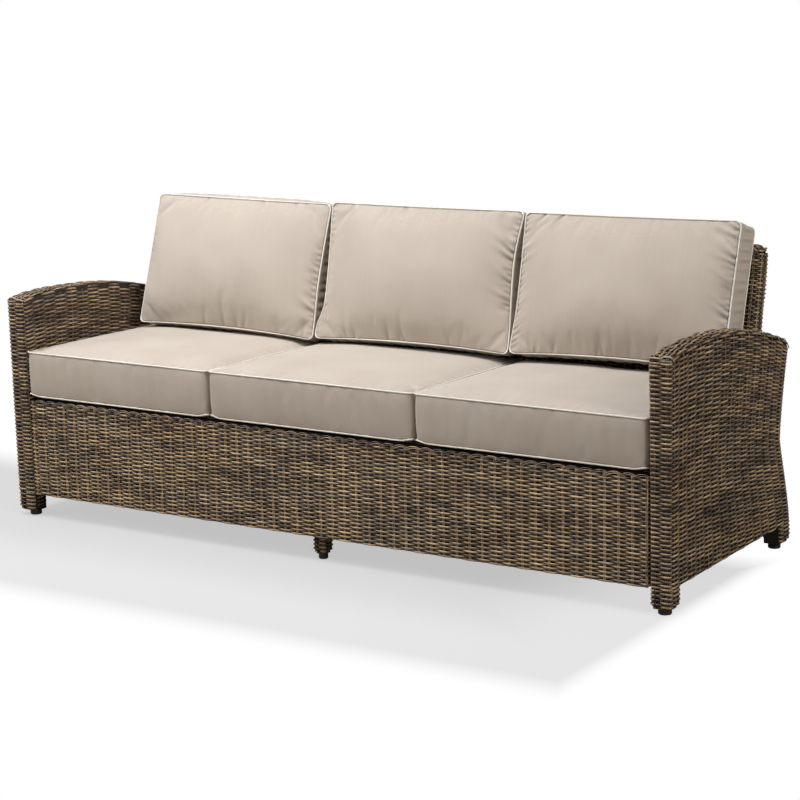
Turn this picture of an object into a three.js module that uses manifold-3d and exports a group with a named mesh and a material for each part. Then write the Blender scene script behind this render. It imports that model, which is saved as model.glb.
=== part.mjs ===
// Three-seat garden sofa of woven resin rattan over a tube frame, with six loose cushions.
// Millimetres. X runs to the right in a front view, Y from the front to the back, Z up.
// The origin is on the floor, in the middle of the sofa's width and depth.

import * as THREE from 'three';
import { mergeVertices } from 'three/addons/utils/BufferGeometryUtils.js';
import Module from 'manifold-3d';

const wasm = await Module();
wasm.setup();

// Tube and weave stock
const tubeSize = 40;
const tubeWall = 2;
const seatRailSize = 38;
const crossBarSize = 25;
const middlePostSize = 25;
const uprightSize = 20;
const slimRailSize = 16;
const slimRailWall = 1.5;
const weaveWall = 7.8;
const weaveClearance = 0.7;
const weaveEdgeRound = 14;
const weldGap = 0.3;
const seatGap = 0.3;
const cutOverrun = 30;

// Overall sizes
const sofaWidth = 1956;
const footDepth = 682;
const panelThickness = tubeSize + 2 * (weaveWall + weaveClearance);

// Arm outline, seen from the side
const armFrontHeight = 598;
const armRearHeight = 528;
const armArchRise = 42;
const armTopReach = 662;
const armUnderside = 66;
const armFrontRound = 12;
const armRearRound = 24;
const waistReach = 612;
const waistHeight = 290;
const upperFlareShare = 1.4;
const lowerFlareShare = 1.4;

// Seat box
const deckTop = 333;
const deckThickness = 8;
const deckFront = 20;
const deckRearGap = 8;
const apronBottom = 64;
const apronDrop = 17;
const apronRound = 5;
const crossBarShares = { left: -0.5, middle: 0, right: 0.5 };

// Back panel
const backLeanAngle = THREE.MathUtils.degToRad(7.13);
const backHeight = 450;
const backTopRound = 18;
const backCornerRound = 20;
const backSideGap = 3;
const backFrameEase = 4;
const uprightShares = { left: -0.33, right: 0.33 };

// Glides and bolts
const glideRadius = 16;
const middleGlideRadius = 12;
const glideHeight = 14;
const glideEdge = 1.5;
const plugHeight = 8;
const plugClearance = 0.7;
const boltRadius = 4;
const boltHeadRadius = 6.5;
const boltHeadHeight = 8;
const boltReach = 14;
const boltClearance = 0.3;
const armBoltInset = 110;
const backBoltShares = [-0.82, -0.27, 0.27, 0.82];

// Cushions
const cushionCount = 3;
const cushionGap = 3;
const seatFrontSetback = 2;
const seatRearGap = 7;
const seatCushionThickness = 124;
const seatRearDrop = 11;
const seatCrown = 14;
const seatDrawIn = 3;
const seatBulge = 2;
const backCushionEase = 16;
const backCushionHeight = 373;
const backCushionThickness = 88;
const backCushionLean = THREE.MathUtils.degToRad(16.5);
const backCrown = 24;
const backRearCrown = 6;
const backDrawIn = 6;
const backBulge = 1;
const backFootSlant = 8;
const cushionCornerRound = 16;
const pipingRadius = 3;
const crownPowerShare = 2.4;

// Facets
const archSteps = 14;
const curveSteps = 20;
const legSteps = 4;
const roundSegments = 4;
const edgeSegments = 3;
const turnedSides = 12;
const boltSides = 8;
const cushionSideSteps = 7;
const cushionCornerSteps = 3;
const crownRingShares = [0.93, 0.75, 0.5, 0.2];
const settlePasses = 8;

// Places worked out from the sizes above
const outerX = sofaWidth / 2;
const innerX = outerX - panelThickness;
const armMiddleX = outerX - panelThickness / 2;
const weaveFoot = glideHeight;
const tubeInset = weaveWall + weaveClearance;
const tubeCentreInset = tubeInset + tubeSize / 2;
const apronTop = deckTop - apronDrop;
const deckUnderside = deckTop - deckThickness;
const seatRailTop = deckUnderside - seatGap;
const seatRailCentreZ = seatRailTop - seatRailSize / 2;
const slimCentreY = weaveWall + seatGap + slimRailSize / 2;
const frontRailCentreY = slimCentreY + slimRailSize / 2 + weldGap + seatRailSize / 2;
const rearRailCentreY = waistReach - weaveWall - seatGap - seatRailSize / 2;
const seatEndCentreX = innerX - weaveClearance - seatRailSize / 2;
const backBaseZ = seatRailTop + seatGap;
const backHalfWidth = innerX - backSideGap;
const middleLegY = slimCentreY + slimRailSize / 2 + weldGap + middlePostSize / 2;
const seatCushionWidth = (2 * innerX - (cushionCount + 1) * cushionGap) / cushionCount;
const seatCushionDepth = waistReach - panelThickness - seatRearGap - seatFrontSetback;
const backCushionWidth = seatCushionWidth - backCushionEase;

function finish(colour, roughness, metalness) {
  return new THREE.MeshStandardMaterial({ color: colour, roughness, metalness });
}

const weaveFinish = finish('#6f5b45', 0.7, 0);
const tubeFinish = finish('#3b2f26', 0.5, 0.6);
const glideFinish = finish('#15130f', 0.55, 0);
const boltFinish = finish('#8f9092', 0.35, 0.9);
const fabricFinish = finish('#b9ac97', 0.95, 0);

// Solids are cut as closed meshes with shared vertices.
function toSolid(geometry) {
  const bare = geometry.clone();
  bare.deleteAttribute('normal');
  bare.deleteAttribute('uv');
  const welded = mergeVertices(bare);
  return new wasm.Manifold(new wasm.Mesh({
    numProp: 3,
    vertProperties: welded.attributes.position.array,
    triVerts: Uint32Array.from(welded.index.array),
  }));
}

function toGeometry(solid) {
  const mesh = solid.getMesh();
  const geometry = new THREE.BufferGeometry();
  geometry.setAttribute('position', new THREE.BufferAttribute(mesh.vertProperties, 3));
  geometry.setIndex(new THREE.BufferAttribute(mesh.triVerts, 1));
  geometry.computeVertexNormals();
  return geometry;
}

function cut(geometry, cutters) {
  let solid = toSolid(geometry);
  for (const cutter of cutters) solid = solid.subtract(toSolid(cutter));
  return toGeometry(solid);
}

function block(minX, maxX, minY, maxY, minZ, maxZ) {
  const box = new THREE.BoxGeometry(maxX - minX, maxY - minY, maxZ - minZ);
  return box.translate((minX + maxX) / 2, (minY + maxY) / 2, (minZ + maxZ) / 2);
}

function rod(radius, start, end) {
  const span = new THREE.Vector3().subVectors(end, start);
  const geometry = new THREE.CylinderGeometry(radius, radius, span.length(), turnedSides);
  const upright = new THREE.Vector3(0, 1, 0);
  geometry.applyQuaternion(new THREE.Quaternion().setFromUnitVectors(upright, span.clone().normalize()));
  return geometry.translate((start.x + end.x) / 2, (start.y + end.y) / 2, (start.z + end.z) / 2);
}

function line(x0, y0, z0, x1, y1, z1) {
  return new THREE.LineCurve3(new THREE.Vector3(x0, y0, z0), new THREE.Vector3(x1, y1, z1));
}

function roundedSquare(size, round, PathClass) {
  const half = size / 2;
  const flat = half - round;
  const path = new PathClass();
  path.moveTo(flat, -half);
  if (round > 0) path.quadraticCurveTo(half, -half, half, -flat);
  path.lineTo(half, flat);
  if (round > 0) path.quadraticCurveTo(half, half, flat, half);
  path.lineTo(-flat, half);
  if (round > 0) path.quadraticCurveTo(-half, half, -half, flat);
  path.lineTo(-half, -flat);
  if (round > 0) path.quadraticCurveTo(-half, -half, -flat, -half);
  return path;
}

function sweep(section, path, steps) {
  return new THREE.ExtrudeGeometry(section, {
    steps,
    extrudePath: path,
    bevelEnabled: false,
    curveSegments: roundSegments,
  });
}

function squareBar(size, path, steps) {
  return sweep(roundedSquare(size, 0, THREE.Shape), path, steps);
}

function squareTube(size, wall, path, steps) {
  const section = roundedSquare(size, 0, THREE.Shape);
  section.holes.push(roundedSquare(size - 2 * wall, 0, THREE.Path));
  return sweep(section, path, steps);
}

// Joins closed rings of points, drawn anticlockwise as seen from the last ring, and caps both ends.
function loft(rings) {
  const positions = rings.flat(2);
  const count = rings[0].length;
  const indices = [];
  for (let ring = 0; ring < rings.length - 1; ring += 1) {
    const lower = ring * count;
    const upper = lower + count;
    for (let point = 0; point < count; point += 1) {
      const next = (point + 1) % count;
      indices.push(lower + point, lower + next, upper + next);
      indices.push(lower + point, upper + next, upper + point);
    }
  }
  const flat = (ring) => ring.map(([x, y]) => new THREE.Vector2(x, y));
  const last = (rings.length - 1) * count;
  for (const [a, b, c] of THREE.ShapeUtils.triangulateShape(flat(rings[0]), [])) indices.push(a, c, b);
  for (const [a, b, c] of THREE.ShapeUtils.triangulateShape(flat(rings.at(-1)), [])) {
    indices.push(last + a, last + b, last + c);
  }
  const geometry = new THREE.BufferGeometry();
  geometry.setAttribute('position', new THREE.Float32BufferAttribute(positions, 3));
  geometry.setIndex(indices);
  geometry.computeVertexNormals();
  return geometry;
}

// A panel whose outline draws in towards each face, so its edge is rounded across the thickness
function roundedPanel(outlineAt, thickness, round) {
  const near = [];
  for (let step = 0; step <= edgeSegments; step += 1) {
    const angle = (step / edgeSegments) * (Math.PI / 2);
    near.push({ height: round * (1 - Math.cos(angle)), inset: round * (1 - Math.sin(angle)) });
  }
  const far = [...near].reverse().map(({ height, inset }) => ({ height: thickness - height, inset }));
  return panel(outlineAt, [...near, ...far]);
}

function plainPanel(outlineAt, inset, thickness) {
  return panel(outlineAt, [{ height: 0, inset }, { height: thickness, inset }]);
}

function panel(outlineAt, layers) {
  return loft(layers.map(({ height, inset }) => {
    return outlineAt(inset).getPoints(roundSegments).map((point) => [point.x, point.y, height]);
  }));
}

// A panel is drawn in side view, with Y along its first axis and Z along its second.
function standAlongX(geometry, startX) {
  const turn = new THREE.Matrix4().makeBasis(
    new THREE.Vector3(0, 1, 0),
    new THREE.Vector3(0, 0, 1),
    new THREE.Vector3(1, 0, 0),
  );
  return geometry.applyMatrix4(turn).translate(startX, 0, 0);
}

function innerRound(round, inset) {
  return Math.max(round - inset, inset / 2);
}

// The arm's top is an arc through its front and rear heights.
const archDrop = armFrontHeight - armRearHeight;
const archHalfChord = Math.hypot(armTopReach, archDrop) / 2;
const archRadius = (archHalfChord ** 2 + armArchRise ** 2) / (2 * armArchRise);
const archTilt = Math.atan(archDrop / armTopReach);
const archCentreY = armTopReach / 2 - Math.sin(archTilt) * (archRadius - armArchRise);
const archCentreZ = (armFrontHeight + armRearHeight) / 2 - Math.cos(archTilt) * (archRadius - armArchRise);

function archHeight(y, inset) {
  return archCentreZ + Math.sqrt((archRadius - inset) ** 2 - (y - archCentreY) ** 2);
}

// The arm's rear edge is drawn in at the waist, and stands upright again at the foot.
function rearFlare(z) {
  if (z < waistHeight) {
    const run = waistHeight - weaveFoot;
    const share = (waistHeight - z) / run;
    const turn = (share ** lowerFlareShare * Math.PI) / 2;
    const reach = footDepth - waistReach;
    const rate = (lowerFlareShare * share ** (lowerFlareShare - 1) * Math.PI) / 2 / run;
    return { offset: reach * Math.sin(turn), slope: -reach * Math.cos(turn) * rate };
  }
  const run = armRearHeight - waistHeight;
  const share = (z - waistHeight) / run;
  const reach = armTopReach - waistReach;
  const rate = (upperFlareShare * share ** (upperFlareShare - 1)) / run;
  return { offset: reach * share ** upperFlareShare, slope: reach * rate };
}

function rearEdge(z, inset) {
  const flare = rearFlare(z);
  return waistReach + flare.offset - inset * Math.hypot(1, flare.slope);
}

function armOutline(inset) {
  const outline = new THREE.Shape();
  const frontRound = innerRound(armFrontRound, inset);
  const rearRound = innerRound(armRearRound, inset);
  const bottom = armUnderside + inset;
  const frontTop = archHeight(inset, inset);
  const rearTop = archHeight(armTopReach - inset, inset);
  const topStart = inset + frontRound;
  const topEnd = armTopReach - inset - rearRound;

  outline.moveTo(inset, bottom);
  for (let step = 0; step <= curveSteps; step += 1) {
    const z = bottom + ((rearTop - rearRound - bottom) * step) / curveSteps;
    outline.lineTo(rearEdge(z, inset), z);
  }
  outline.quadraticCurveTo(rearEdge(rearTop, inset), rearTop, topEnd, archHeight(topEnd, inset));
  for (let step = 1; step <= archSteps; step += 1) {
    const y = topEnd + ((topStart - topEnd) * step) / archSteps;
    outline.lineTo(y, archHeight(y, inset));
  }
  outline.quadraticCurveTo(inset, frontTop, inset, frontTop - frontRound);
  return outline;
}

function frontPostPath(x, bottomZ, topZ) {
  return line(x, tubeCentreInset, bottomZ, x, tubeCentreInset, topZ);
}

function rearPostPath(x, bottomZ, topZ) {
  const points = [];
  for (let step = 0; step <= curveSteps; step += 1) {
    const z = bottomZ + ((topZ - bottomZ) * step) / curveSteps;
    points.push(new THREE.Vector3(x, rearEdge(z, tubeCentreInset), z));
  }
  return new THREE.CatmullRomCurve3(points);
}

function topRailPath(x, startY, endY) {
  const points = [];
  for (let step = 0; step <= curveSteps; step += 1) {
    const y = startY + ((endY - startY) * step) / curveSteps;
    points.push(new THREE.Vector3(x, y, archHeight(y, tubeCentreInset)));
  }
  return new THREE.CatmullRomCurve3(points);
}

// The arm's woven skin is a hollow panel, open where the two posts come out below.
function armWeave(side, boltHoles) {
  const startX = side > 0 ? innerX : -outerX;
  const x = side * armMiddleX;
  const postHole = tubeSize + 2 * weaveClearance;
  const holeTop = armUnderside + tubeSize;
  const skin = standAlongX(roundedPanel(armOutline, panelThickness, weaveEdgeRound), startX);
  const hollow = standAlongX(plainPanel(armOutline, weaveWall, panelThickness - 2 * weaveWall), startX + weaveWall);
  return cut(skin, [
    hollow,
    squareBar(postHole, frontPostPath(x, 0, holeTop), 1),
    squareBar(postHole, rearPostPath(x, 0, holeTop), legSteps),
    ...boltHoles,
  ]);
}

// A woven sleeve on a leg, cut level above and below
function legWeave(path, steps) {
  const section = roundedSquare(panelThickness, weaveEdgeRound, THREE.Shape);
  section.holes.push(roundedSquare(tubeSize + 2 * weaveClearance, 0, THREE.Path));
  const above = block(-outerX, outerX, -cutOverrun, footDepth + cutOverrun, armUnderside - seatGap, armRearHeight);
  const below = block(-outerX, outerX, -cutOverrun, footDepth + cutOverrun, -armRearHeight, weaveFoot);
  return cut(sweep(section, path, steps), [above, below]);
}

function armLegs(side) {
  const x = side * armMiddleX;
  const bottom = weaveFoot - cutOverrun;
  const top = armUnderside + cutOverrun;
  return {
    front_leg_weave: legWeave(frontPostPath(x, bottom, top), 1),
    rear_leg_weave: legWeave(rearPostPath(x, bottom, top), legSteps),
  };
}

// Five tubes welded into the arm's frame. The posts' lower ends are the legs.
function armFrame(side, boltHoles) {
  const x = side * armMiddleX;
  const envelope = tubeSize + 2 * weldGap;
  const slope = Math.sin(archTilt) + archHalfChord / archRadius;
  const railStart = tubeInset + (tubeSize / 2) * slope;
  const rearPostTop = armRearHeight - armRearRound - tubeInset;
  const rearTopY = rearEdge(rearPostTop, tubeCentreInset);
  const bottomRailZ = armUnderside + tubeCentreInset;
  const bottom = weaveFoot - cutOverrun;
  const above = rearPostTop + cutOverrun;

  const frontPost = frontPostPath(x, weaveFoot, archHeight(tubeCentreInset, tubeCentreInset));
  const rearPost = rearPostPath(x, bottom, rearPostTop);
  const topRail = topRailPath(x, railStart, rearTopY);
  const frontEnvelope = squareBar(envelope, frontPostPath(x, 0, armFrontHeight), 1);
  const rearEnvelope = squareBar(envelope, rearPost, curveSteps);
  const longRearEnvelope = squareBar(envelope, rearPostPath(x, bottom, above), curveSteps);
  const topEnvelope = squareBar(envelope, topRailPath(x, railStart - tubeInset, rearTopY + cutOverrun), curveSteps);
  const belowFoot = block(-outerX, outerX, -cutOverrun, footDepth + cutOverrun, -armRearHeight, weaveFoot);
  const rail = (z) => {
    const path = line(x, tubeCentreInset, z, x, rearEdge(z, tubeCentreInset), z);
    return squareTube(tubeSize, tubeWall, path, 1);
  };

  return {
    arm_front_post: cut(squareTube(tubeSize, tubeWall, frontPost, 1), [topEnvelope]),
    arm_rear_post: cut(squareTube(tubeSize, tubeWall, rearPost, curveSteps), [belowFoot]),
    arm_top_rail: cut(squareTube(tubeSize, tubeWall, topRail, curveSteps), [longRearEnvelope]),
    arm_seat_rail: cut(rail(seatRailCentreZ), [frontEnvelope, rearEnvelope, ...boltHoles]),
    arm_bottom_rail: cut(rail(bottomRailZ), [frontEnvelope, rearEnvelope]),
  };
}

function turned(points, sides) {
  const profile = points.map(([radius, height]) => new THREE.Vector2(radius, height));
  return new THREE.LatheGeometry(profile, sides).rotateX(Math.PI / 2);
}

// A round foot under the weave, with a plug that fits the tube's bore
function glide(radius, bore) {
  const top = glideHeight - seatGap;
  const plugRadius = bore / 2 - plugClearance;
  return turned([
    [0, 0],
    [radius - glideEdge, 0],
    [radius, glideEdge],
    [radius, top],
    [plugRadius, top],
    [plugRadius, top + plugHeight],
    [0, top + plugHeight],
  ], turnedSides);
}

// A cap-head bolt: the underside of its head is at the origin, and its shank runs up +Z.
function bolt(length) {
  return turned([
    [0, -boltHeadHeight],
    [boltHeadRadius, -boltHeadHeight],
    [boltHeadRadius, 0],
    [boltRadius, 0],
    [boltRadius, length],
    [0, length],
  ], boltSides);
}

// The seat frame is bolted out through its end rails, into the arms' seat rails.
const armBoltYs = { front: armBoltInset, rear: rearRailCentreY - armBoltInset };

function armBoltHoles(side) {
  const headX = side * (seatEndCentreX - seatRailSize / 2 - boltHeadHeight);
  const tipX = side * (innerX + tubeInset + tubeWall + boltReach + boltHeadHeight);
  return Object.values(armBoltYs).map((y) => rod(
    boltRadius + boltClearance,
    new THREE.Vector3(headX, y, seatRailCentreZ),
    new THREE.Vector3(tipX, y, seatRailCentreZ),
  ));
}

function armBolts(side) {
  const seatX = side * (seatEndCentreX - seatRailSize / 2 - boltClearance);
  const length = seatRailSize + weaveClearance + tubeInset + tubeWall + boltReach;
  const pieces = {};
  for (const [word, y] of Object.entries(armBoltYs)) {
    const turnedBolt = bolt(length).rotateY((side * Math.PI) / 2);
    pieces[`arm_${word}_bolt`] = turnedBolt.translate(seatX, y, seatRailCentreZ);
  }
  return pieces;
}

// The back's bolts stand upright through the rear seat rail, into the back's bottom rail.
const backBoltLength = seatRailSize + 2 * boltClearance + tubeSize / 2;
const backBoltFootZ = seatRailTop - seatRailSize - boltClearance;
const backBoltXs = backBoltShares.map((share) => share * backHalfWidth);

function backBoltHoles() {
  return backBoltXs.map((x) => rod(
    boltRadius + boltClearance,
    new THREE.Vector3(x, rearRailCentreY, backBoltFootZ - boltHeadHeight),
    new THREE.Vector3(x, rearRailCentreY, backBoltFootZ + backBoltLength + boltHeadHeight),
  ));
}

function backBolts() {
  const pieces = {};
  backBoltXs.forEach((x, index) => {
    pieces[`back_bolt_${index + 1}`] = bolt(backBoltLength).translate(x, rearRailCentreY, backBoltFootZ);
  });
  return pieces;
}

// The back is drawn upright, with its rear lower edge on the X axis, and its group leans it.
function backOutline(inset, bottom) {
  const halfWidth = backHalfWidth - inset;
  const top = backHeight - inset;
  const round = innerRound(backCornerRound, inset);
  const outline = new THREE.Shape();
  outline.moveTo(-halfWidth, bottom);
  outline.lineTo(halfWidth, bottom);
  outline.lineTo(halfWidth, top - round);
  outline.quadraticCurveTo(halfWidth, top, halfWidth - round, top);
  outline.lineTo(-halfWidth + round, top);
  outline.quadraticCurveTo(-halfWidth, top, -halfWidth, top - round);
  return outline;
}

function backWeave() {
  const skin = roundedPanel((inset) => backOutline(inset, 0), panelThickness, backTopRound);
  const hollowAt = (inset) => backOutline(inset, -cutOverrun);
  const hollow = plainPanel(hollowAt, weaveWall, panelThickness - 2 * weaveWall);
  return cut(skin.rotateX(Math.PI / 2), [hollow.rotateX(Math.PI / 2).translate(0, -weaveWall, 0)]);
}

function backFrame(boltHoles) {
  const y = -panelThickness / 2;
  const sideX = backHalfWidth - tubeCentreInset - backFrameEase;
  const bottomZ = seatGap + tubeSize / 2;
  const topZ = backHeight - tubeCentreInset - backFrameEase;
  const envelope = tubeSize + 2 * weldGap;
  const bottomPath = line(-sideX, y, bottomZ, sideX, y, bottomZ);
  const topPath = line(-sideX, y, topZ, sideX, y, topZ);
  const stilePath = (x) => line(x, y, seatGap, x, y, topZ + tubeSize / 2);
  const stileEnvelopes = [-sideX, sideX].map((x) => squareBar(envelope, stilePath(x), 1));
  const railEnvelopes = [bottomPath, topPath].map((path) => squareBar(envelope, path, 1));
  const pieces = {
    back_bottom_rail: cut(squareTube(tubeSize, tubeWall, bottomPath, 1), [...stileEnvelopes, ...boltHoles]),
    back_top_rail: cut(squareTube(tubeSize, tubeWall, topPath, 1), stileEnvelopes),
    back_left_stile: squareTube(tubeSize, tubeWall, stilePath(-sideX), 1),
    back_right_stile: squareTube(tubeSize, tubeWall, stilePath(sideX), 1),
  };
  for (const [word, share] of Object.entries(uprightShares)) {
    const x = share * backHalfWidth;
    const upright = squareTube(uprightSize, slimRailWall, line(x, y, bottomZ, x, y, topZ), 1);
    pieces[`back_${word}_upright`] = cut(upright, railEnvelopes);
  }
  return pieces;
}

// An apron is a wall that turns in under its lower rail, and in front also over its top rail.
function apronWeave(topReturn) {
  const depth = weaveWall + seatGap + slimRailSize;
  const halfWidth = innerX - weaveClearance;
  const section = new THREE.Shape();
  section.moveTo(apronRound, apronBottom);
  section.lineTo(depth, apronBottom);
  section.lineTo(depth, apronBottom + weaveWall);
  section.lineTo(weaveWall, apronBottom + weaveWall);
  if (topReturn) {
    section.lineTo(weaveWall, apronTop - weaveWall);
    section.lineTo(depth, apronTop - weaveWall);
    section.lineTo(depth, apronTop);
  } else {
    section.lineTo(weaveWall, apronTop);
  }
  section.lineTo(apronRound, apronTop);
  section.quadraticCurveTo(0, apronTop, 0, apronTop - apronRound);
  section.lineTo(0, apronBottom + apronRound);
  section.quadraticCurveTo(0, apronBottom, apronRound, apronBottom);
  const wall = new THREE.ExtrudeGeometry(section, {
    depth: 2 * halfWidth,
    bevelEnabled: false,
    curveSegments: roundSegments,
  });
  return standAlongX(wall, -halfWidth);
}

function middleLegWeave(y) {
  const top = apronBottom - seatGap;
  const size = middlePostSize + 2 * (weaveWall + weaveClearance);
  const section = roundedSquare(size, apronRound, THREE.Shape);
  section.holes.push(roundedSquare(middlePostSize + 2 * weaveClearance, 0, THREE.Path));
  return sweep(section, line(0, y, weaveFoot, 0, y, top), 1);
}

function seatFrame(endHoles, backHoles) {
  const z = seatRailCentreZ;
  const frontY = frontRailCentreY - seatRailSize / 2;
  const rearY = rearRailCentreY + seatRailSize / 2;
  const slimX = innerX - weaveClearance;
  const lowZ = apronBottom + weaveWall + seatGap + slimRailSize / 2;
  const highZ = apronTop - weaveWall - seatGap - slimRailSize / 2;
  const barZ = seatRailTop - crossBarSize / 2;
  const envelope = seatRailSize + 2 * weldGap;
  const endPath = (x) => line(x, frontY, z, x, rearY, z);
  const longPath = (y) => line(-seatEndCentreX, y, z, seatEndCentreX, y, z);
  const endEnvelopes = [-seatEndCentreX, seatEndCentreX].map((x) => squareBar(envelope, endPath(x), 1));
  const longEnvelopes = [frontRailCentreY, rearRailCentreY].map((y) => squareBar(envelope, longPath(y), 1));
  const rail = (path) => squareTube(seatRailSize, tubeWall, path, 1);
  const slimRail = (y, slimZ) => squareTube(slimRailSize, slimRailWall, line(-slimX, y, slimZ, slimX, y, slimZ), 1);
  const pieces = {
    seat_front_rail: cut(rail(longPath(frontRailCentreY)), endEnvelopes),
    seat_rear_rail: cut(rail(longPath(rearRailCentreY)), [...endEnvelopes, ...backHoles]),
    seat_left_rail: cut(rail(endPath(-seatEndCentreX)), endHoles),
    seat_right_rail: cut(rail(endPath(seatEndCentreX)), endHoles),
    front_apron_top_rail: slimRail(slimCentreY, highZ),
    front_apron_lower_rail: slimRail(slimCentreY, lowZ),
    rear_apron_lower_rail: slimRail(waistReach - slimCentreY, lowZ),
  };
  for (const [word, share] of Object.entries(crossBarShares)) {
    const x = share * innerX;
    const bar = squareTube(crossBarSize, slimRailWall, line(x, frontRailCentreY, barZ, x, rearRailCentreY, barZ), 1);
    pieces[`seat_${word}_cross_bar`] = cut(bar, longEnvelopes);
  }
  return pieces;
}

function seatDeck() {
  const halfWidth = innerX - weaveClearance;
  return block(-halfWidth, halfWidth, deckFront, waistReach - panelThickness - deckRearGap, deckUnderside, deckTop);
}

// Seam outline of a boxed cushion: rounded corners, and sides drawn in between them
function cushionOutline(width, length, drawIn) {
  const straightX = width / 2 - pipingRadius - cushionCornerRound;
  const straightY = length / 2 - pipingRadius - cushionCornerRound;
  const corners = [
    [straightX, straightY], [-straightX, straightY], [-straightX, -straightY], [straightX, -straightY],
  ];
  const points = [];
  corners.forEach(([cornerX, cornerY], index) => {
    for (let step = 0; step < cushionCornerSteps; step += 1) {
      const angle = ((index + step / cushionCornerSteps) * Math.PI) / 2;
      points.push([
        cornerX + cushionCornerRound * Math.cos(angle),
        cornerY + cushionCornerRound * Math.sin(angle),
      ]);
    }
    const [nextX, nextY] = corners[(index + 1) % corners.length];
    const facing = ((index + 1) * Math.PI) / 2;
    for (let step = 0; step < cushionSideSteps; step += 1) {
      const share = step / cushionSideSteps;
      const reach = cushionCornerRound - drawIn * (1 - (2 * share - 1) ** 2);
      points.push([
        cornerX + (nextX - cornerX) * share + reach * Math.cos(facing),
        cornerY + (nextY - cornerY) * share + reach * Math.sin(facing),
      ]);
    }
  });
  return points;
}

function crownShare(share) {
  return 1 - Math.min(Math.abs(share), 1) ** crownPowerShare;
}

// A boxed cushion lies on its back, with its rear or lower edge on the X axis and its face up.
function cushion(size) {
  const { width, length, thickness, rearDrop, crown, rearCrown, drawIn, bulge, footSlant } = size;
  const outline = cushionOutline(width, length, drawIn);
  const crownAt = (x, y) => crownShare((2 * x) / width) * crownShare((2 * y) / length);
  const seamAt = (y) => thickness - rearDrop * (y / length + 1 / 2);
  const underside = (x, y) => -rearCrown * crownAt(x, y);
  const topside = (x, y) => seamAt(y) + crown * crownAt(x, y);
  const ring = (share, outward, levelAt) => outline.map(([x, y]) => {
    const grow = share + outward / Math.hypot(x, y);
    const level = levelAt(x * grow, y * grow);
    const along = y * grow + length / 2;
    const slant = footSlant * (1 - level / thickness) * (1 - along / length);
    return [x * grow, along + slant, level];
  });
  const rings = [];
  if (rearCrown > 0) rings.push(...[...crownRingShares].reverse().map((share) => ring(share, 0, underside)));
  rings.push(ring(1, 0, () => 0));
  rings.push(ring(1, pipingRadius, () => pipingRadius));
  rings.push(ring(1, 0, () => 2 * pipingRadius));
  rings.push(ring(1, bulge, (x, y) => seamAt(y) / 2));
  rings.push(ring(1, 0, (x, y) => seamAt(y) - 2 * pipingRadius));
  rings.push(ring(1, pipingRadius, (x, y) => seamAt(y) - pipingRadius));
  rings.push(ring(1, 0, (x, y) => seamAt(y)));
  rings.push(...crownRingShares.map((share) => ring(share, 0, topside)));
  return loft(rings);
}

function seatTopHeight(y) {
  const share = (y - seatFrontSetback) / seatCushionDepth;
  const seam = deckTop + seatGap + seatCushionThickness - seatRearDrop * share;
  return seam + seatCrown * crownShare(2 * share - 1);
}

// A back cushion stands on the seat cushion and leans on the back panel's rounded top edge.
function backCushionFoot() {
  const roundY = backTopRound - panelThickness;
  const roundZ = backHeight - backTopRound;
  const edgeY = waistReach + roundY * Math.cos(backLeanAngle) + roundZ * Math.sin(backLeanAngle);
  const edgeZ = backBaseZ - roundY * Math.sin(backLeanAngle) + roundZ * Math.cos(backLeanAngle);
  const sine = Math.sin(backCushionLean);
  const cosine = Math.cos(backCushionLean);
  const foot = { y: edgeY - backCushionHeight * sine, z: edgeZ - backCushionHeight * cosine };
  for (let pass = 0; pass < settlePasses; pass += 1) {
    const along = (edgeY - foot.y) * sine + (edgeZ - foot.z) * cosine;
    const crown = backRearCrown * crownShare((2 * along) / backCushionHeight - 1);
    const reach = backTopRound + crown + seatGap;
    foot.z = seatTopHeight(foot.y) + seatGap + (pipingRadius - backFootSlant) * cosine;
    foot.y = edgeY - reach / cosine - ((edgeZ - foot.z) * sine) / cosine;
  }
  return foot;
}

const sofa = new THREE.Group();
sofa.position.y = -footDepth / 2;

function addPiece(parent, name, geometry, material) {
  const mesh = new THREE.Mesh(geometry, material.clone());
  mesh.name = name;
  parent.add(mesh);
  return mesh;
}

function addPieces(parent, prefix, pieces, material) {
  for (const [name, geometry] of Object.entries(pieces)) addPiece(parent, prefix + name, geometry, material);
}

// Arms
const cornerBore = tubeSize - 2 * tubeWall;
const rearFootY = rearEdge(weaveFoot + plugHeight / 2, tubeCentreInset);
for (const [word, side] of [['left', -1], ['right', 1]]) {
  const arm = new THREE.Group();
  const holes = armBoltHoles(side);
  const x = side * armMiddleX;
  addPieces(arm, `${word}_`, armFrame(side, holes), tubeFinish);
  addPieces(arm, `${word}_`, armLegs(side), weaveFinish);
  addPiece(arm, `${word}_arm_weave`, armWeave(side, holes), weaveFinish);
  addPieces(arm, `${word}_`, armBolts(side), boltFinish);
  const corner = glide(glideRadius, cornerBore);
  addPiece(arm, `${word}_front_glide`, corner, glideFinish).position.set(x, tubeCentreInset, 0);
  addPiece(arm, `${word}_rear_glide`, corner, glideFinish).position.set(x, rearFootY, 0);
  sofa.add(arm);
}

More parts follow.
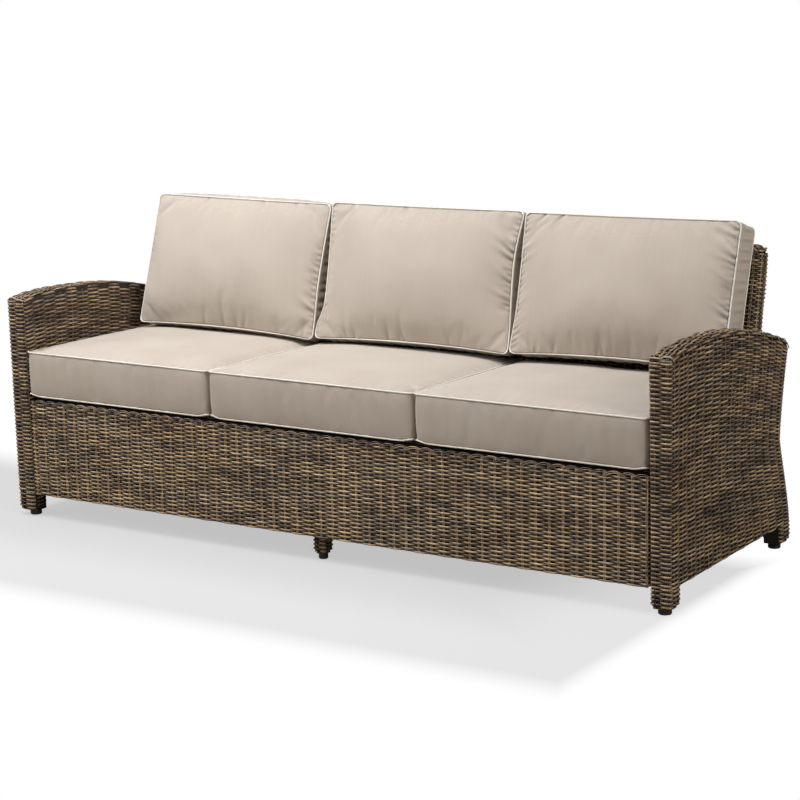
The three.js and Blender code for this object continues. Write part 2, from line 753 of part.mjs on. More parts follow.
// Seat box
const seatBox = new THREE.Group();
const endHoles = [...armBoltHoles(-1), ...armBoltHoles(1)];
addPieces(seatBox, '', seatFrame(endHoles, backBoltHoles()), tubeFinish);
addPiece(seatBox, 'seat_deck_weave', seatDeck(), weaveFinish);
addPiece(seatBox, 'front_apron_weave', apronWeave(true), weaveFinish);
const rearApron = addPiece(seatBox, 'rear_apron_weave', apronWeave(false), weaveFinish);
rearApron.position.y = waistReach;
rearApron.rotation.z = Math.PI;
const middlePostTop = seatRailTop - seatRailSize - weldGap;
const middleBore = middlePostSize - 2 * slimRailWall;
for (const [word, y] of [['front', middleLegY], ['rear', waistReach - middleLegY]]) {
  const post = squareTube(middlePostSize, slimRailWall, line(0, y, weaveFoot, 0, y, middlePostTop), 1);
  const foot = glide(middleGlideRadius, middleBore);
  addPiece(seatBox, `${word}_middle_post`, post, tubeFinish);
  addPiece(seatBox, `${word}_middle_leg_weave`, middleLegWeave(y), weaveFinish);
  addPiece(seatBox, `${word}_middle_glide`, foot, glideFinish).position.set(0, y, 0);
}
addPieces(seatBox, '', backBolts(), boltFinish);
sofa.add(seatBox);

// Back, leaned about its rear lower edge
const back = new THREE.Group();
back.position.set(0, waistReach, backBaseZ);
back.rotation.x = -backLeanAngle;
const intoBack = new THREE.Matrix4().makeRotationX(backLeanAngle);
intoBack.multiply(new THREE.Matrix4().makeTranslation(0, -waistReach, -backBaseZ));
const leanedHoles = backBoltHoles().map((hole) => hole.applyMatrix4(intoBack));
addPieces(back, '', backFrame(leanedHoles), tubeFinish);
addPiece(back, 'back_weave', backWeave(), weaveFinish);
sofa.add(back);

// Cushions
const seatSize = {
  width: seatCushionWidth,
  length: seatCushionDepth,
  thickness: seatCushionThickness,
  rearDrop: seatRearDrop,
  crown: seatCrown,
  rearCrown: 0,
  drawIn: seatDrawIn,
  bulge: seatBulge,
  footSlant: 0,
};
const restSize = {
  width: backCushionWidth,
  length: backCushionHeight,
  thickness: backCushionThickness,
  rearDrop: 0,
  crown: backCrown,
  rearCrown: backRearCrown,
  drawIn: backDrawIn,
  bulge: backBulge,
  footSlant: backFootSlant,
};
const backFoot = backCushionFoot();
['left', 'middle', 'right'].forEach((word, index) => {
  const place = index - (cushionCount - 1) / 2;
  const seat = addPiece(sofa, `${word}_seat_cushion`, cushion(seatSize), fabricFinish);
  seat.position.set(place * (seatCushionWidth + cushionGap), seatFrontSetback, deckTop + seatGap);
  const rest = addPiece(sofa, `${word}_back_cushion`, cushion(restSize), fabricFinish);
  rest.position.set(place * (backCushionWidth + cushionGap), backFoot.y, backFoot.z);
  rest.rotation.x = Math.PI / 2 - backCushionLean;
});

export default sofa;
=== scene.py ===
"""Looks of the woven garden sofa: resin weave, boxed and piped cushions, and the studio round it.

Lengths are in millimetres and become metres when a mesh is made. X runs along the seat, Y to the rear, Z up.
Depths are given from the arms' front faces, as they are measured on the sofa; ARM_FRONT takes them to the frame.
"""

import math
from functools import partial
from types import SimpleNamespace

import bpy
import numpy as np
from mathutils import Matrix, Vector


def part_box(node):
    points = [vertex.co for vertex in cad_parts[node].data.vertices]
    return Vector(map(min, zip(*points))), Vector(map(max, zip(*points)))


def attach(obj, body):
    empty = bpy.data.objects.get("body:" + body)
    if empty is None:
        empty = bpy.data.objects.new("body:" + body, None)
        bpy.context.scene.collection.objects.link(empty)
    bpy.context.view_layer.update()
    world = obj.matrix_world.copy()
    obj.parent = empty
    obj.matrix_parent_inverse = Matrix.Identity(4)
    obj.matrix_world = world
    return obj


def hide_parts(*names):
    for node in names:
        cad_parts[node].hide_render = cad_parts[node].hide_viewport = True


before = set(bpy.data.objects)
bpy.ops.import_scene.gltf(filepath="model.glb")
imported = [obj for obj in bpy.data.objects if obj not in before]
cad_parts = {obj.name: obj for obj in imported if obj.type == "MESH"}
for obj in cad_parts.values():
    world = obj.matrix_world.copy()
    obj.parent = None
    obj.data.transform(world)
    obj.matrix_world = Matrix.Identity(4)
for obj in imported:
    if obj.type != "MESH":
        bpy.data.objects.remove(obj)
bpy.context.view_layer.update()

# Sizes
MM = 0.001
ARM_FRONT = -341
ARM_MIDDLE = 949.5
PANEL_THICKNESS = 57
WEAVE_INSET = 4.2
ARM_INSET = 1.2
SHADE_SHELL_GAP = 2.6
CORNER = 8
ROW_PITCH = 5.3
STAKE_PITCH = 36
END_STAKE = 15
FIRST_SIDE_STAKE = 8
ARM_BOTTOM = 66
ARM_FRONT_HEIGHT = 598
ARM_TOP_REACH = 662
ARM_TOP_DROP = 70
ARCH_RISE = 42
FRONT_TOP_ROUND = 12
REAR_TOP_ROUND = 22
ARM_SIDE_STAKES, ARM_RINGS, ARM_TOP_ROWS = 15, 98, 11
ARM_HALF = (PANEL_THICKNESS - WEAVE_INSET - ARM_INSET) / 2
WOVEN_MIDDLE = ARM_MIDDLE + (WEAVE_INSET - ARM_INSET) / 2
LEFT_ARM_OUT, LEFT_ARM_SAG, LEFT_LEG_OUT, RIGHT_ARM_FULLER = 7, 8, 6, 6
FOOT_LEVEL = 14
FOOT_TAPER = 14
WAIST_REACH = 612
WAIST_FILL = 8
WAIST_HEIGHT = 290
FOOT_FLARE = 70
TOP_FLARE = 45
LOW_FLARE_POWER, HIGH_FLARE_POWER = 1.15, 1.4
MIDDLE_LEG_HALF, MIDDLE_LEG_CORNER, MIDDLE_LEG_DEPTHS = 17, 3, {"front": 37.1, "rear": 574.9}
APRON_HALF = 920
APRON_LEFT, APRON_RIGHT = 923, 918.5
APRON_BOTTOM = 64
APRON_TOP = 315
APRON_RETURN = 22
APRON_BEND = 4
BACK_BASE = 325
BACK_HALF = 918
BACK_HEIGHT = 442
BACK_LEAN = math.radians(7.13)
BACK_TOP_ROUND = 18
BACK_CORNER_ROUND = 20
BACK_SIDE_STAKES, BACK_RINGS, BACK_TOP_ROWS = 50, 82, 13
BACK_THICK = PANEL_THICKNESS / 2 - WEAVE_INSET
BACK_WIDER, BACK_WIDER_FROM, BACK_WIDER_TO = 4, 280, 330
PIPING_RADIUS = 2.2


# Small helpers
def linear(colour):
    """An sRGB hex colour as the linear colour that a shader takes."""
    parts = [int(colour[i:i + 2], 16) / 255 for i in (1, 3, 5)]
    return [p / 12.92 if p <= 0.04045 else ((p + 0.055) / 1.055) ** 2.4 for p in parts] + [1]


def add_node(tree, kind, sockets=None, **settings):
    """Adds a node; sockets gives each input's name or number its value, or the node or socket that feeds it."""
    node = tree.nodes.new(kind)
    for name, value in settings.items():
        setattr(node, name, value)
    for key, value in (sockets or {}).items():
        if isinstance(value, bpy.types.Node):
            value = value.outputs[0]
        if isinstance(value, bpy.types.NodeSocket):
            tree.links.new(value, node.inputs[key])
        else:
            node.inputs[key].default_value = value
    return node


def add_object(name, data):
    piece = bpy.data.objects.new(name, data)
    bpy.context.scene.collection.objects.link(piece)
    return piece


def smooth_step(value, start, end):
    share = np.clip((value - start) / (end - start), 0, 1)
    return share * share * (3 - 2 * share)


def read(data, field, width=1, kind=np.float32):
    """A mesh's values as an array, with a column for each part of a vector."""
    values = np.zeros(len(data) * width, kind)
    data.foreach_get(field, values)
    return values.reshape(-1, width) if width > 1 else values


def mark(mesh, label, values):
    """Keeps a value, or a vector, for each of a mesh's points."""
    kind, field = ("FLOAT_VECTOR", "vector") if np.ndim(values) > 1 else ("FLOAT", "value")
    mesh.attributes.new(label, kind, "POINT").data.foreach_set(field, np.asarray(values, np.float32).ravel())


def settle(piece, name):
    """Makes what a piece's modifiers give into its own plain mesh."""
    made = bpy.data.meshes.new_from_object(piece.evaluated_get(bpy.context.evaluated_depsgraph_get()))
    piece.modifiers.clear()
    piece.data = made
    made.name = name
    return made


# Finishes
def new_material(name):
    """A material with an empty tree, and add_node for that tree."""
    material = bpy.data.materials.new(name)
    material.use_nodes = True
    material.node_tree.nodes.clear()
    return material, partial(add_node, material.node_tree)


def finish_material(add, sockets, height=None, strength=0.0, depth=0.0):
    """Ends a material in one lit surface, with fine relief so many metres deep where a height is given."""
    if height is not None:
        bump = add("ShaderNodeBump", {"Height": height, "Strength": strength, "Distance": depth})
        sockets = {**sockets, "Normal": bump}
    add("ShaderNodeOutputMaterial", {"Surface": add("ShaderNodeBsdfPrincipled", sockets)})


def ramp(add, factor, stops):
    """A colour ramp through hex colours, each at its place."""
    node = add("ShaderNodeValToRGB", {0: factor})
    bands = node.color_ramp.elements
    for place in list(stops)[1:-1]:
        bands.new(place)
    for band, (place, colour) in zip(bands, stops.items()):
        band.position, band.color = place, linear(colour)
    return node


def tone_of(add, start, *parts):
    """A tone from a start and each part times its weight."""
    for part, weight in parts:
        start = add("ShaderNodeMath", {0: part, 1: weight, 2: start}, operation="MULTIPLY_ADD")
    return start


def shaded(add, colour, label, limits, kind="SMOOTHSTEP"):
    """Paints light and shade into a colour from a value that the mesh keeps: limits are two values and the shade at
    each.
    """
    value = add("ShaderNodeAttribute", attribute_name=label).outputs["Fac"]
    shade = add("ShaderNodeMapRange", {0: value, **dict(enumerate(limits, 1))}, interpolation_type=kind)
    return add("ShaderNodeVectorMath", {0: colour, "Scale": shade}, operation="SCALE")


def resin_weave(name, lift):
    """Polyethylene wicker, extruded in mixed browns, some warm and some greyed. Each strand shines softly along its
    bend and falls dark where it dips behind a stake; its colour is also painted lighter on the crest and darker in the
    dip, as painted highlight and painted shade."""
    material, add = new_material(name)
    row, along = (add("ShaderNodeAttribute", attribute_name=label).outputs["Fac"] for label in ("row", "along"))
    spot = add("ShaderNodeTexCoord").outputs["Object"]
    strand = add("ShaderNodeCombineXYZ", {0: along, 1: row})

    def strand_noise(length, rows, detail):
        """Noise that runs along the strands: so many metres long and so many rows high."""
        place = add("ShaderNodeMapping", {"Vector": strand, "Scale": (1 / length, 1 / rows, 1)})
        return add("ShaderNodeTexNoise", {"Vector": place, "Scale": 1.0, "Detail": detail})

    drift = strand_noise(0.3, 7, 2.0)
    streak = strand_noise(0.09, 1, 2.0)
    # Flecks a few millimetres long, where the colours ran together in the die.
    fleck = add("ShaderNodeTexNoise", {"Vector": spot, "Scale": 170.0, "Detail": 1.0})
    tone = tone_of(add, lift, (drift, 0.4), (streak, 0.75), (fleck, 0.3))
    warm = ramp(add, tone, {0.5: "#2f241d", 0.62: "#57483b", 0.72: "#8a7359", 0.84: "#b39a76", 1.0: "#d8c09a"})
    grey = ramp(add, tone, {0.5: "#2a2422", 0.62: "#50463e", 0.72: "#786b5d", 0.84: "#a2917b", 1.0: "#c6b698"})
    greyed = add("ShaderNodeMapRange", {0: strand_noise(0.35, 3, 1.0), 1: 0.45, 2: 0.62})
    colour = add("ShaderNodeMix", {0: greyed, 6: warm, 7: grey}, data_type="RGBA").outputs[2]
    # Painted highlight and shade: the colour is lightened on each strand's crest and darkened where it dips behind a
    # stake. Stakes, laid with no over and under, take the full highlight.
    colour = shaded(add, colour, "crest", (0.1, 0.9, 0.2, 1.2))
    finish_material(add, {"Base Color": colour, "Roughness": 0.42, "IOR": 1.51}, fleck, 0.25, 0.0006)
    return material


def thread_height(add, spot, scale):
    """A plain weave's over and under, on all three faces of a boxed cushion."""
    waves = []
    for part in add("ShaderNodeSeparateXYZ", {0: spot}).outputs:
        turned = add("ShaderNodeMath", {0: part, 1: scale}, operation="MULTIPLY")
        waves.append(add("ShaderNodeMath", {0: turned}, operation="SINE"))
    return tone_of(add, 0.0, *zip(waves, waves[1:] + waves[:1]))


def canvas(name, dark, light, thread, seamed=False):
    """Outdoor acrylic canvas, woven: matt, with faint streaks along the warp threads and a soft bloom at grazing
    angles. A seamed canvas also carries painted shade beside its seams and in its folds, and painted highlight on the
    cloth between folds."""
    material, add = new_material(name)
    spot = add("ShaderNodeTexCoord").outputs["Object"]
    weave = thread_height(add, spot, 2 * math.pi / (thread * MM))
    slub_place = add("ShaderNodeMapping", {"Vector": spot, "Scale": (230, 9, 9)})
    slub = add("ShaderNodeTexNoise", {"Vector": slub_place, "Scale": 1.0, "Detail": 3.0})
    cloud = add("ShaderNodeTexNoise", {"Vector": spot, "Scale": 7.0, "Detail": 2.0})
    colour = ramp(add, tone_of(add, 0.16, (slub, 0.18), (cloud, 0.5), (weave, 0.06)), {0.25: dark, 0.75: light})
    if seamed:
        # Beside the piping the cloth turns down into its seams, and its colour is darkened there as painted shade.
        colour = shaded(add, colour, "seam", (1.0, 5.0, 0.36, 1.0))
        # Painted shade and highlight: the colour darkens in the folds and lightens on the cloth between them.
        colour = shaded(add, colour, "fold", (-1.5, 5.5, 1.12, 0.36), "LINEAR")
    finish_material(add, {"Base Color": colour, "Roughness": 0.92, "IOR": 1.45, "Sheen Weight": 0.18,
                          "Sheen Roughness": 0.5}, weave, 0.18, 0.0004)
    return material


def mottled(name, scale, detail, colours, rough, looks, relief=None):
    """A plain finish with a fine mottle in its colour; a pair in rough follows the mottle too."""
    material, add = new_material(name)
    spot = add("ShaderNodeTexCoord").outputs["Object"]
    mottle = add("ShaderNodeTexNoise", {"Vector": spot, "Scale": scale, "Detail": detail})
    if isinstance(rough, tuple):
        rough = add("ShaderNodeMapRange", {0: mottle, 3: rough[0], 4: rough[1]})
    sockets = {"Base Color": ramp(add, mottle, colours), "Roughness": rough, **looks}
    finish_material(add, sockets, *((mottle, *relief) if relief else ()))
    return material


# One resin in copies toned apart: the rows of the aprons, back and deck a little lighter than the arms' and legs'
# rows, the border arcs and the arms' and legs' stakes darker. These differences are painted light and shade, matching
# how brightly each part is lit; the strands are all the same resin.
wicker = resin_weave("polyethylene_wicker", 0.035)
arm_wicker = resin_weave("polyethylene_wicker_arms", 0.0)
stake_wicker = resin_weave("polyethylene_wicker_stakes", 0.0)
border_wicker = resin_weave("polyethylene_wicker_border", -0.08)
arm_stake_wicker = resin_weave("polyethylene_wicker_arm_stakes", -0.16)
# Painted shade: a near-black finish for the dark shells laid inside the weave. They stand for its unlit inside, which
# has no such sheet, and are seen only as the dark between strands.
weave_shade_shell = mottled("polyethylene_wicker_inside", 90.0, 2.0, {0.3: "#0e0a08", 0.7: "#1b1510"}, 0.9,
                        {"Specular IOR Level": 0.15})
cushion_canvas = canvas("acrylic_canvas_sand", "#afa396", "#c3b9ac", 2.2, seamed=True)
piping_canvas = canvas("acrylic_canvas_piping", "#dcd6ca", "#efeae0", 1.6)
# Powder-coated aluminium tube: an even satin brown with the fine orange peel of baked powder.
tube_finish = mottled("powder_coated_tube", 700.0, 2.0, {0.3: "#1d1611", 0.7: "#261d16"}, 0.55, {"IOR": 1.5},
                      relief=(0.3, 0.0002))
# Moulded black nylon, for the foot glides: dark, with a dull skin and small scuffs from the floor.
glide_finish = mottled("moulded_nylon", 240.0, 3.0, {0.35: "#161514", 0.75: "#282624"}, (0.42, 0.62),
                       {"IOR": 1.53})
# Zinc-plated steel, for the bolts: bright grey with a cloudy passivated film.
bolt_finish = mottled("zinc_plated_steel", 320.0, 2.0, {0.3: "#a6a7a6", 0.7: "#c4c5c2"}, (0.28, 0.42),
                      {"Metallic": 1.0})


# Strands: a tree that lays a strand over and under along each guide line
def strand_tree():
    tree = bpy.data.node_groups.new("woven_strands", "GeometryNodeTree")
    add = partial(add_node, tree)
    for name, kind, value in (
            ("Guides", "Geometry", None), ("Strand width", "Float", 4.6 * MM),
            ("Strand thickness", "Float", 2.6 * MM), ("Over and under", "Float", 2.6 * MM),
            ("Strand sides", "Int", 6), ("Strand finish", "Material", None)):
        socket = tree.interface.new_socket(name, in_out="INPUT", socket_type=f"NodeSocket{kind}")
        if value:
            socket.default_value = value
    tree.interface.new_socket("Strands", in_out="OUTPUT", socket_type="NodeSocketGeometry")
    given = add("NodeGroupInput").outputs
    phase, outward = (add("GeometryNodeInputNamedAttribute", {"Name": label}, data_type=kind).outputs["Attribute"]
                      for label, kind in (("phase", "FLOAT"), ("outward", "FLOAT_VECTOR")))
    turn = add("ShaderNodeMath", {0: phase, 1: math.pi}, operation="MULTIPLY")
    wave = add("ShaderNodeMath", {0: turn}, operation="COSINE")
    flat_top = add("ShaderNodeMath", {0: wave, 1: 1.25}, operation="MULTIPLY")
    held = add("ShaderNodeClamp", {"Value": flat_top, "Min": -1.0, "Max": 1.0})
    swing = add("ShaderNodeMath", {0: held, 1: given["Over and under"]}, operation="MULTIPLY")
    # crest is 1 on a strand's crest and 0 in its dip behind a stake; the resin paints its highlight and shade from it.
    crest = add("ShaderNodeMath", {0: wave, 1: 0.5, 2: 0.5}, operation="MULTIPLY_ADD")
    offset = add("ShaderNodeVectorMath", {0: outward, "Scale": swing}, operation="SCALE")
    laid = add("GeometryNodeSetPosition", {"Geometry": given["Guides"], "Offset": offset})
    laid = add("GeometryNodeStoreNamedAttribute", {"Geometry": laid, "Name": "crest", "Value": crest})
    line = add("GeometryNodeMeshToCurve", {"Mesh": laid})
    line = add("GeometryNodeSetCurveNormal", {"Curve": line, "Normal": outward}, mode="FREE")
    ring = add("GeometryNodeCurvePrimitiveCircle", {"Resolution": given["Strand sides"], "Radius": 0.5})
    # A quarter turn puts two corners at the strand's full width.
    ring = add("GeometryNodeTransform", {"Geometry": ring, "Rotation": (0, 0, math.pi / 2)})
    size = add("ShaderNodeCombineXYZ", {0: given["Strand thickness"], 1: given["Strand width"], 2: 1.0})
    ring = add("GeometryNodeTransform", {"Geometry": ring, "Scale": size})
    place = add("GeometryNodeInputIndex")
    ring = add("GeometryNodeStoreNamedAttribute", {"Geometry": ring, "Name": "around", "Value": place})
    tube = add("GeometryNodeCurveToMesh", {"Curve": line, "Profile Curve": ring, "Fill Caps": True})
    tube = add("GeometryNodeSetShadeSmooth", {"Geometry": tube})
    tube = add("GeometryNodeRealizeInstances", {"Geometry": tube})
    tube = add("GeometryNodeSetMaterial", {"Geometry": tube, "Material": given["Strand finish"]})
    add("NodeGroupOutput", {"Strands": tube})
    return tree


strands = strand_tree()


def guide(points, outward, phase, closed=False):
    """One strand's line: its points, which way is out of the weave at each, and how many stakes it has passed."""
    return np.asarray(points, float), np.asarray(outward, float), np.asarray(phase, float), closed


def strand_piece(name, guides, finish, sides=6, width=4.6, thickness=2.6, proud=2.6):
    """Lays a strand along each guide and gives the whole set back as one plain mesh."""
    points, outward, phase, along, row, edges = [], [], [], [], [], []
    start = 0
    for number, (line, out, stake, closed) in enumerate(guides):
        count = len(line)
        points.append(line)
        outward.append(out / np.linalg.norm(out, axis=1)[:, None])
        phase.append(stake)
        along.append(np.r_[0, np.cumsum(np.linalg.norm(np.diff(line, axis=0), axis=1))] * MM)
        row.append(np.full(count, number))
        ends = np.arange(start, start + count - 1)
        edges.append(np.c_[ends, ends + 1])
        if closed:
            edges.append([[start + count - 1, start]])
        start += count
    mesh = bpy.data.meshes.new(name)
    mesh.from_pydata(np.concatenate(points) * MM, np.concatenate(edges).tolist(), [])
    for label, values in (("outward", outward), ("phase", phase), ("along", along), ("row", row)):
        mark(mesh, label, np.concatenate(values))
    piece = add_object(name, mesh)
    layers = piece.modifiers.new("strands", "NODES")
    layers.node_group = strands
    asked = {"Strand width": width * MM, "Strand thickness": thickness * MM, "Over and under": proud * MM,
             "Strand sides": sides, "Strand finish": finish}
    for socket in strands.interface.items_tree:
        if socket.name in asked:
            layers[socket.identifier] = asked[socket.name]
    strip_map(settle(piece, name), sides, len(guides))
    return piece


def strip_map(mesh, sides, count):
    """Unrolls the strands side by side on a UV map: along each strand, and round it."""
    corners = read(mesh.loops, "vertex_index", kind=np.int32)
    first = read(mesh.polygons, "loop_start", kind=np.int32)
    along, row, around = (read(mesh.attributes[label].data, "value") for label in ("along", "row", "around"))
    around = around[corners]
    span = np.maximum.reduceat(around, first) - np.minimum.reduceat(around, first)
    wraps = np.repeat(span > sides / 2, np.diff(np.r_[first, len(corners)]))
    around = np.where(wraps & (around < 0.5), sides, around)
    across = (row[corners] + 0.1 + 0.8 * around / sides) / count
    length = along[corners] / max(along.max(), MM)
    layer = mesh.uv_layers.new(name="OFBake")
    layer.data.foreach_set("uv", np.c_[0.005 + 0.99 * length, across].astype(np.float32).ravel())
    for label in ("outward", "phase", "around"):
        mesh.attributes.remove(mesh.attributes[label])


def keep_on_frame(piece, node=None):
    if node:
        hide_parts(node)
    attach(piece, "base")


def keep_rows(name, guides, node=None, finish=wicker, **looks):
    keep_on_frame(strand_piece(name, guides, finish, **looks), node)


def keep_stakes(name, guides, width=3.4, thickness=2.4, proud=0.6, finish=stake_wicker):
    keep_on_frame(strand_piece(name, guides, finish, 6, width, thickness, proud))


def keep_shade_shell(name, rings, node):
    """Closes the inside of a woven piece with a dark shell, painted shade for the weave's unlit inside, which has no
    such sheet. Each ring mirrors itself, so its ends close in strips.
    """
    count, last = len(rings[0]), (len(rings) - 1) * len(rings[0])
    faces = []
    for low in range(0, last, count):
        for step in range(count):
            after, high = (step + 1) % count, low + count
            faces.append((low + step, low + after, high + after, high + step))
    for step in range(count // 2 - 1):
        strip = (step, step + 1, count - 2 - step, count - 1 - step)
        faces.append(strip[::-1])
        faces.append(tuple(last + corner for corner in strip))
    mesh = bpy.data.meshes.new(name)
    mesh.from_pydata((np.concatenate(rings) * MM).tolist(), [], faces)
    if sum(f.area * f.normal.dot(f.center) for f in mesh.polygons) < 0:
        mesh.flip_normals()
    mesh.materials.append(weave_shade_shell)
    keep_on_frame(add_object(name, mesh), node)


def doubled(points, facing, spread=1.9):
    """A stake is two strands side by side."""
    run = np.gradient(points, axis=0)
    across = np.cross(run, facing)
    across /= np.linalg.norm(across, axis=1)[:, None]
    return [guide(points + sign * spread * across, facing, np.zeros(len(points))) for sign in (-1, 1)]


# Slabs: the arms and the back are woven round a flat frame, ring by ring. A slab says how many stakes each side has,
# how thick it is, where each ring lies and faces, and how high its top is.
def slab_ring(stake, side_count, near, far, half, corner):
    """Place and facing on the ring round a slab, at a stake number. Numbers run from the middle of the near end,
    up the outer side, round the far end and back. Each stake stands half-way between two whole numbers."""
    whole = 2 * side_count + 4
    turned = np.mod(stake, whole)
    side = np.where(turned <= whole / 2, 1.0, -1.0)
    folded = np.where(turned <= whole / 2, turned, whole - turned)
    mirrored = folded > whole / 4
    quarter = np.where(mirrored, whole / 2 - folded, folded)
    flat, arc = half - corner, corner * math.pi / 2
    total = flat + arc + (far - near) / 2 - corner
    first = flat + arc + FIRST_SIDE_STAKE
    run = np.where(quarter <= 0.5, quarter * 2 * END_STAKE, END_STAKE + (quarter - 0.5) * (first - END_STAKE))
    run = np.where(quarter > 1.5, first + (quarter - 1.5) / (whole / 4 - 1.5) * (total - first), run)
    angle = np.clip((run - flat) / corner, 0, math.pi / 2)
    across = np.minimum(run, flat) + corner * np.sin(angle)
    depth = corner * (1 - np.cos(angle)) + np.maximum(run - flat - arc, 0)
    place = np.where(mirrored, far - depth, near + depth)
    facing = np.where(mirrored, np.cos(angle), -np.cos(angle))
    return place, side * across, facing, side * np.sin(angle)


def over_edge(count, half, corner):
    """Places across a slab's rounded top: how far over, how far down, and the facing, evenly spaced."""
    quarter, flat = corner * math.pi / 2, 2 * (half - corner)
    rows = []
    for step in (np.arange(count) + 0.5) * (2 * quarter + flat) / count:
        mirrored = step > quarter + flat / 2
        run = 2 * quarter + flat - step if mirrored else step
        angle = min(run / corner, math.pi / 2)
        across = half - corner + corner * math.cos(angle) - max(run - quarter, 0)
        sign = -1 if mirrored else 1
        rows.append((sign * across, corner * (1 - math.sin(angle)), sign * math.cos(angle), math.sin(angle)))
    return rows


def round_drop(inner, radius):
    """How far a rounded corner falls below its flat line, from how far inside the end a point is."""
    short = np.clip(radius - inner, 0, radius * 0.999)
    return radius - np.sqrt(radius ** 2 - short ** 2)


def slab_rows(slab, stake, levels):
    """Rows round a slab, one at each level; each wanders up and down a little."""
    guides = []
    height, by_stake, by_row = slab.sway
    for number, level in enumerate(levels):
        along, across, z, face_along, face_across = slab.ring(level, stake)
        z = z + height * np.sin(stake * by_stake + number * by_row)
        facing = slab.face(face_along, face_across, 0 * z)
        guides.append(guide(slab.place(along, across, z), facing, stake + number + 0.5))
    return guides


def slab_top_rows(slab, stake, along, below, count):
    """Rows along a slab's rounded top, over its stakes; below is how many rings lie under them."""
    guides = []
    for number, (across, drop, face_across, up) in enumerate(over_edge(count, slab.half, slab.corner)):
        facing = slab.face(-slab.slope(along) * up, np.full_like(along, face_across), np.full_like(along, up))
        z = slab.top(along, drop)
        guides.append(guide(slab.place(along, across, z), facing, stake + below + number + 0.5))
    return guides


def slab_stakes(slab, levels, bend=9):
    """A slab's stakes: those round its ends stand alone, the others bend over its top and come down behind."""
    guides = []
    whole = 2 * slab.side_count + 4
    for stake in np.arange(whole) + 0.5:
        number = min(stake, whole - stake)
        over = 1 < number < whole / 2 - 1
        if over and stake > whole / 2:
            continue
        along, across, z, face_along, face_across = np.array(
            [[float(v) for v in slab.ring(level, np.array(stake))] for level in levels]).T
        points, facing = slab.place(along, across, z), slab.face(face_along, face_across, 0 * z)
        if over:
            arc_across, drop, arc_face, up = np.array(over_edge(bend, slab.half, slab.corner)).T
            reach = np.full(bend, along[-1])
            points = np.concatenate([points, slab.place(reach, arc_across, slab.over(reach, drop)),
                                     slab.place(along[::-1], -across[::-1], z[::-1])])
            facing = np.concatenate([facing, slab.face(0 * up, arc_face, up),
                                     slab.face(face_along[::-1], -face_across[::-1], 0 * z)])
        guides += doubled(points, facing)
    return guides


def slab_shade_shell(slab, levels, crown, sunk):
    """Rings of a slab's dark shell, painted shade for its unlit inside, a gap under its weave; the topmost is sunk
    further in, at the crown's height.
    """
    rings = []
    stake = np.arange(2 * slab.side_count + 4) + 0.5
    for level in levels:
        along, across, z, face_along, face_across = slab.ring(level, stake)
        rings.append(slab.place(along - SHADE_SHELL_GAP * face_along, across - SHADE_SHELL_GAP * face_across, z))
    rings.append(slab.place(along - sunk * SHADE_SHELL_GAP * face_along, 0.6 * across, crown(along)))
    return rings


# Arms
arch_chord = math.hypot(ARM_TOP_REACH, ARM_TOP_DROP) / 2
arch_radius = (arch_chord ** 2 + ARCH_RISE ** 2) / (2 * ARCH_RISE)
arch_tilt = math.atan(ARM_TOP_DROP / ARM_TOP_REACH)
arch_y = ARM_TOP_REACH / 2 - math.sin(arch_tilt) * (arch_radius - ARCH_RISE)
arch_z = ARM_FRONT_HEIGHT - ARM_TOP_DROP / 2 - math.cos(arch_tilt) * (arch_radius - ARCH_RISE)


def arch_height(y, inset):
    return arch_z + np.sqrt((arch_radius - inset) ** 2 - (y - arch_y) ** 2)


def rear_reach(z, inset):
    """How far back the arm's waisted rear edge is, at a height."""
    low = np.clip((WAIST_HEIGHT - z) / (WAIST_HEIGHT - FOOT_LEVEL), 0, 1)
    high = np.clip((z - WAIST_HEIGHT) / (ARM_FRONT_HEIGHT - ARM_TOP_DROP - WAIST_HEIGHT), 0, 1)
    flare = FOOT_FLARE * np.sin(math.pi / 2 * low ** LOW_FLARE_POWER) + TOP_FLARE * high ** HIGH_FLARE_POWER
    return WAIST_REACH + WAIST_FILL + flare - inset


def arm_ring(share, stake):
    """Points of an arm's ring at a share of its height, with how they face."""
    height = ARM_BOTTOM + share * (ARM_FRONT_HEIGHT - ARM_BOTTOM)
    # Reach and height depend on each other, and settle in a few rounds.
    for _ in range(3):
        far = rear_reach(height, ARM_INSET)
        y, across, face_y, face_x = slab_ring(stake, ARM_SIDE_STAKES, ARM_INSET, far, ARM_HALF, CORNER)
        top = arch_height(y, ARM_INSET) - CORNER - ROW_PITCH / 2 - round_drop(ARM_TOP_REACH - y, REAR_TOP_ROUND)
        height = ARM_BOTTOM + share * (top - ARM_BOTTOM)
    return y, across, height, face_y, face_x


def arm_top(y, drop):
    """Height of an arm's arched top, so far below its outermost strands."""
    z = arch_height(y, ARM_INSET + drop) - round_drop(y, FRONT_TOP_ROUND)
    return z - round_drop(ARM_TOP_REACH - y, REAR_TOP_ROUND)


def arm_place(side, y, across, z):
    """The arms as they stand in the photograph: the left one leans out and sags to the rear, the right one's inner
    side is fuller at its top."""
    rise = z / ARM_FRONT_HEIGHT
    if side < 0:
        out = LEFT_ARM_OUT + 2 * rise - (6 - 2 * rise) * smooth_step(-across, -ARM_HALF, ARM_HALF)
        z = z - LEFT_ARM_SAG * smooth_step(y, 30, 260) * rise
    else:
        out = -RIGHT_ARM_FULLER * smooth_step(-across, 0, ARM_HALF) * rise ** 2
    return np.c_[np.broadcast_to(side * (WOVEN_MIDDLE + across + out), np.shape(y)), y + ARM_FRONT, z]


def arm_face(side, along, across, up):
    return np.c_[side * across, along, up]


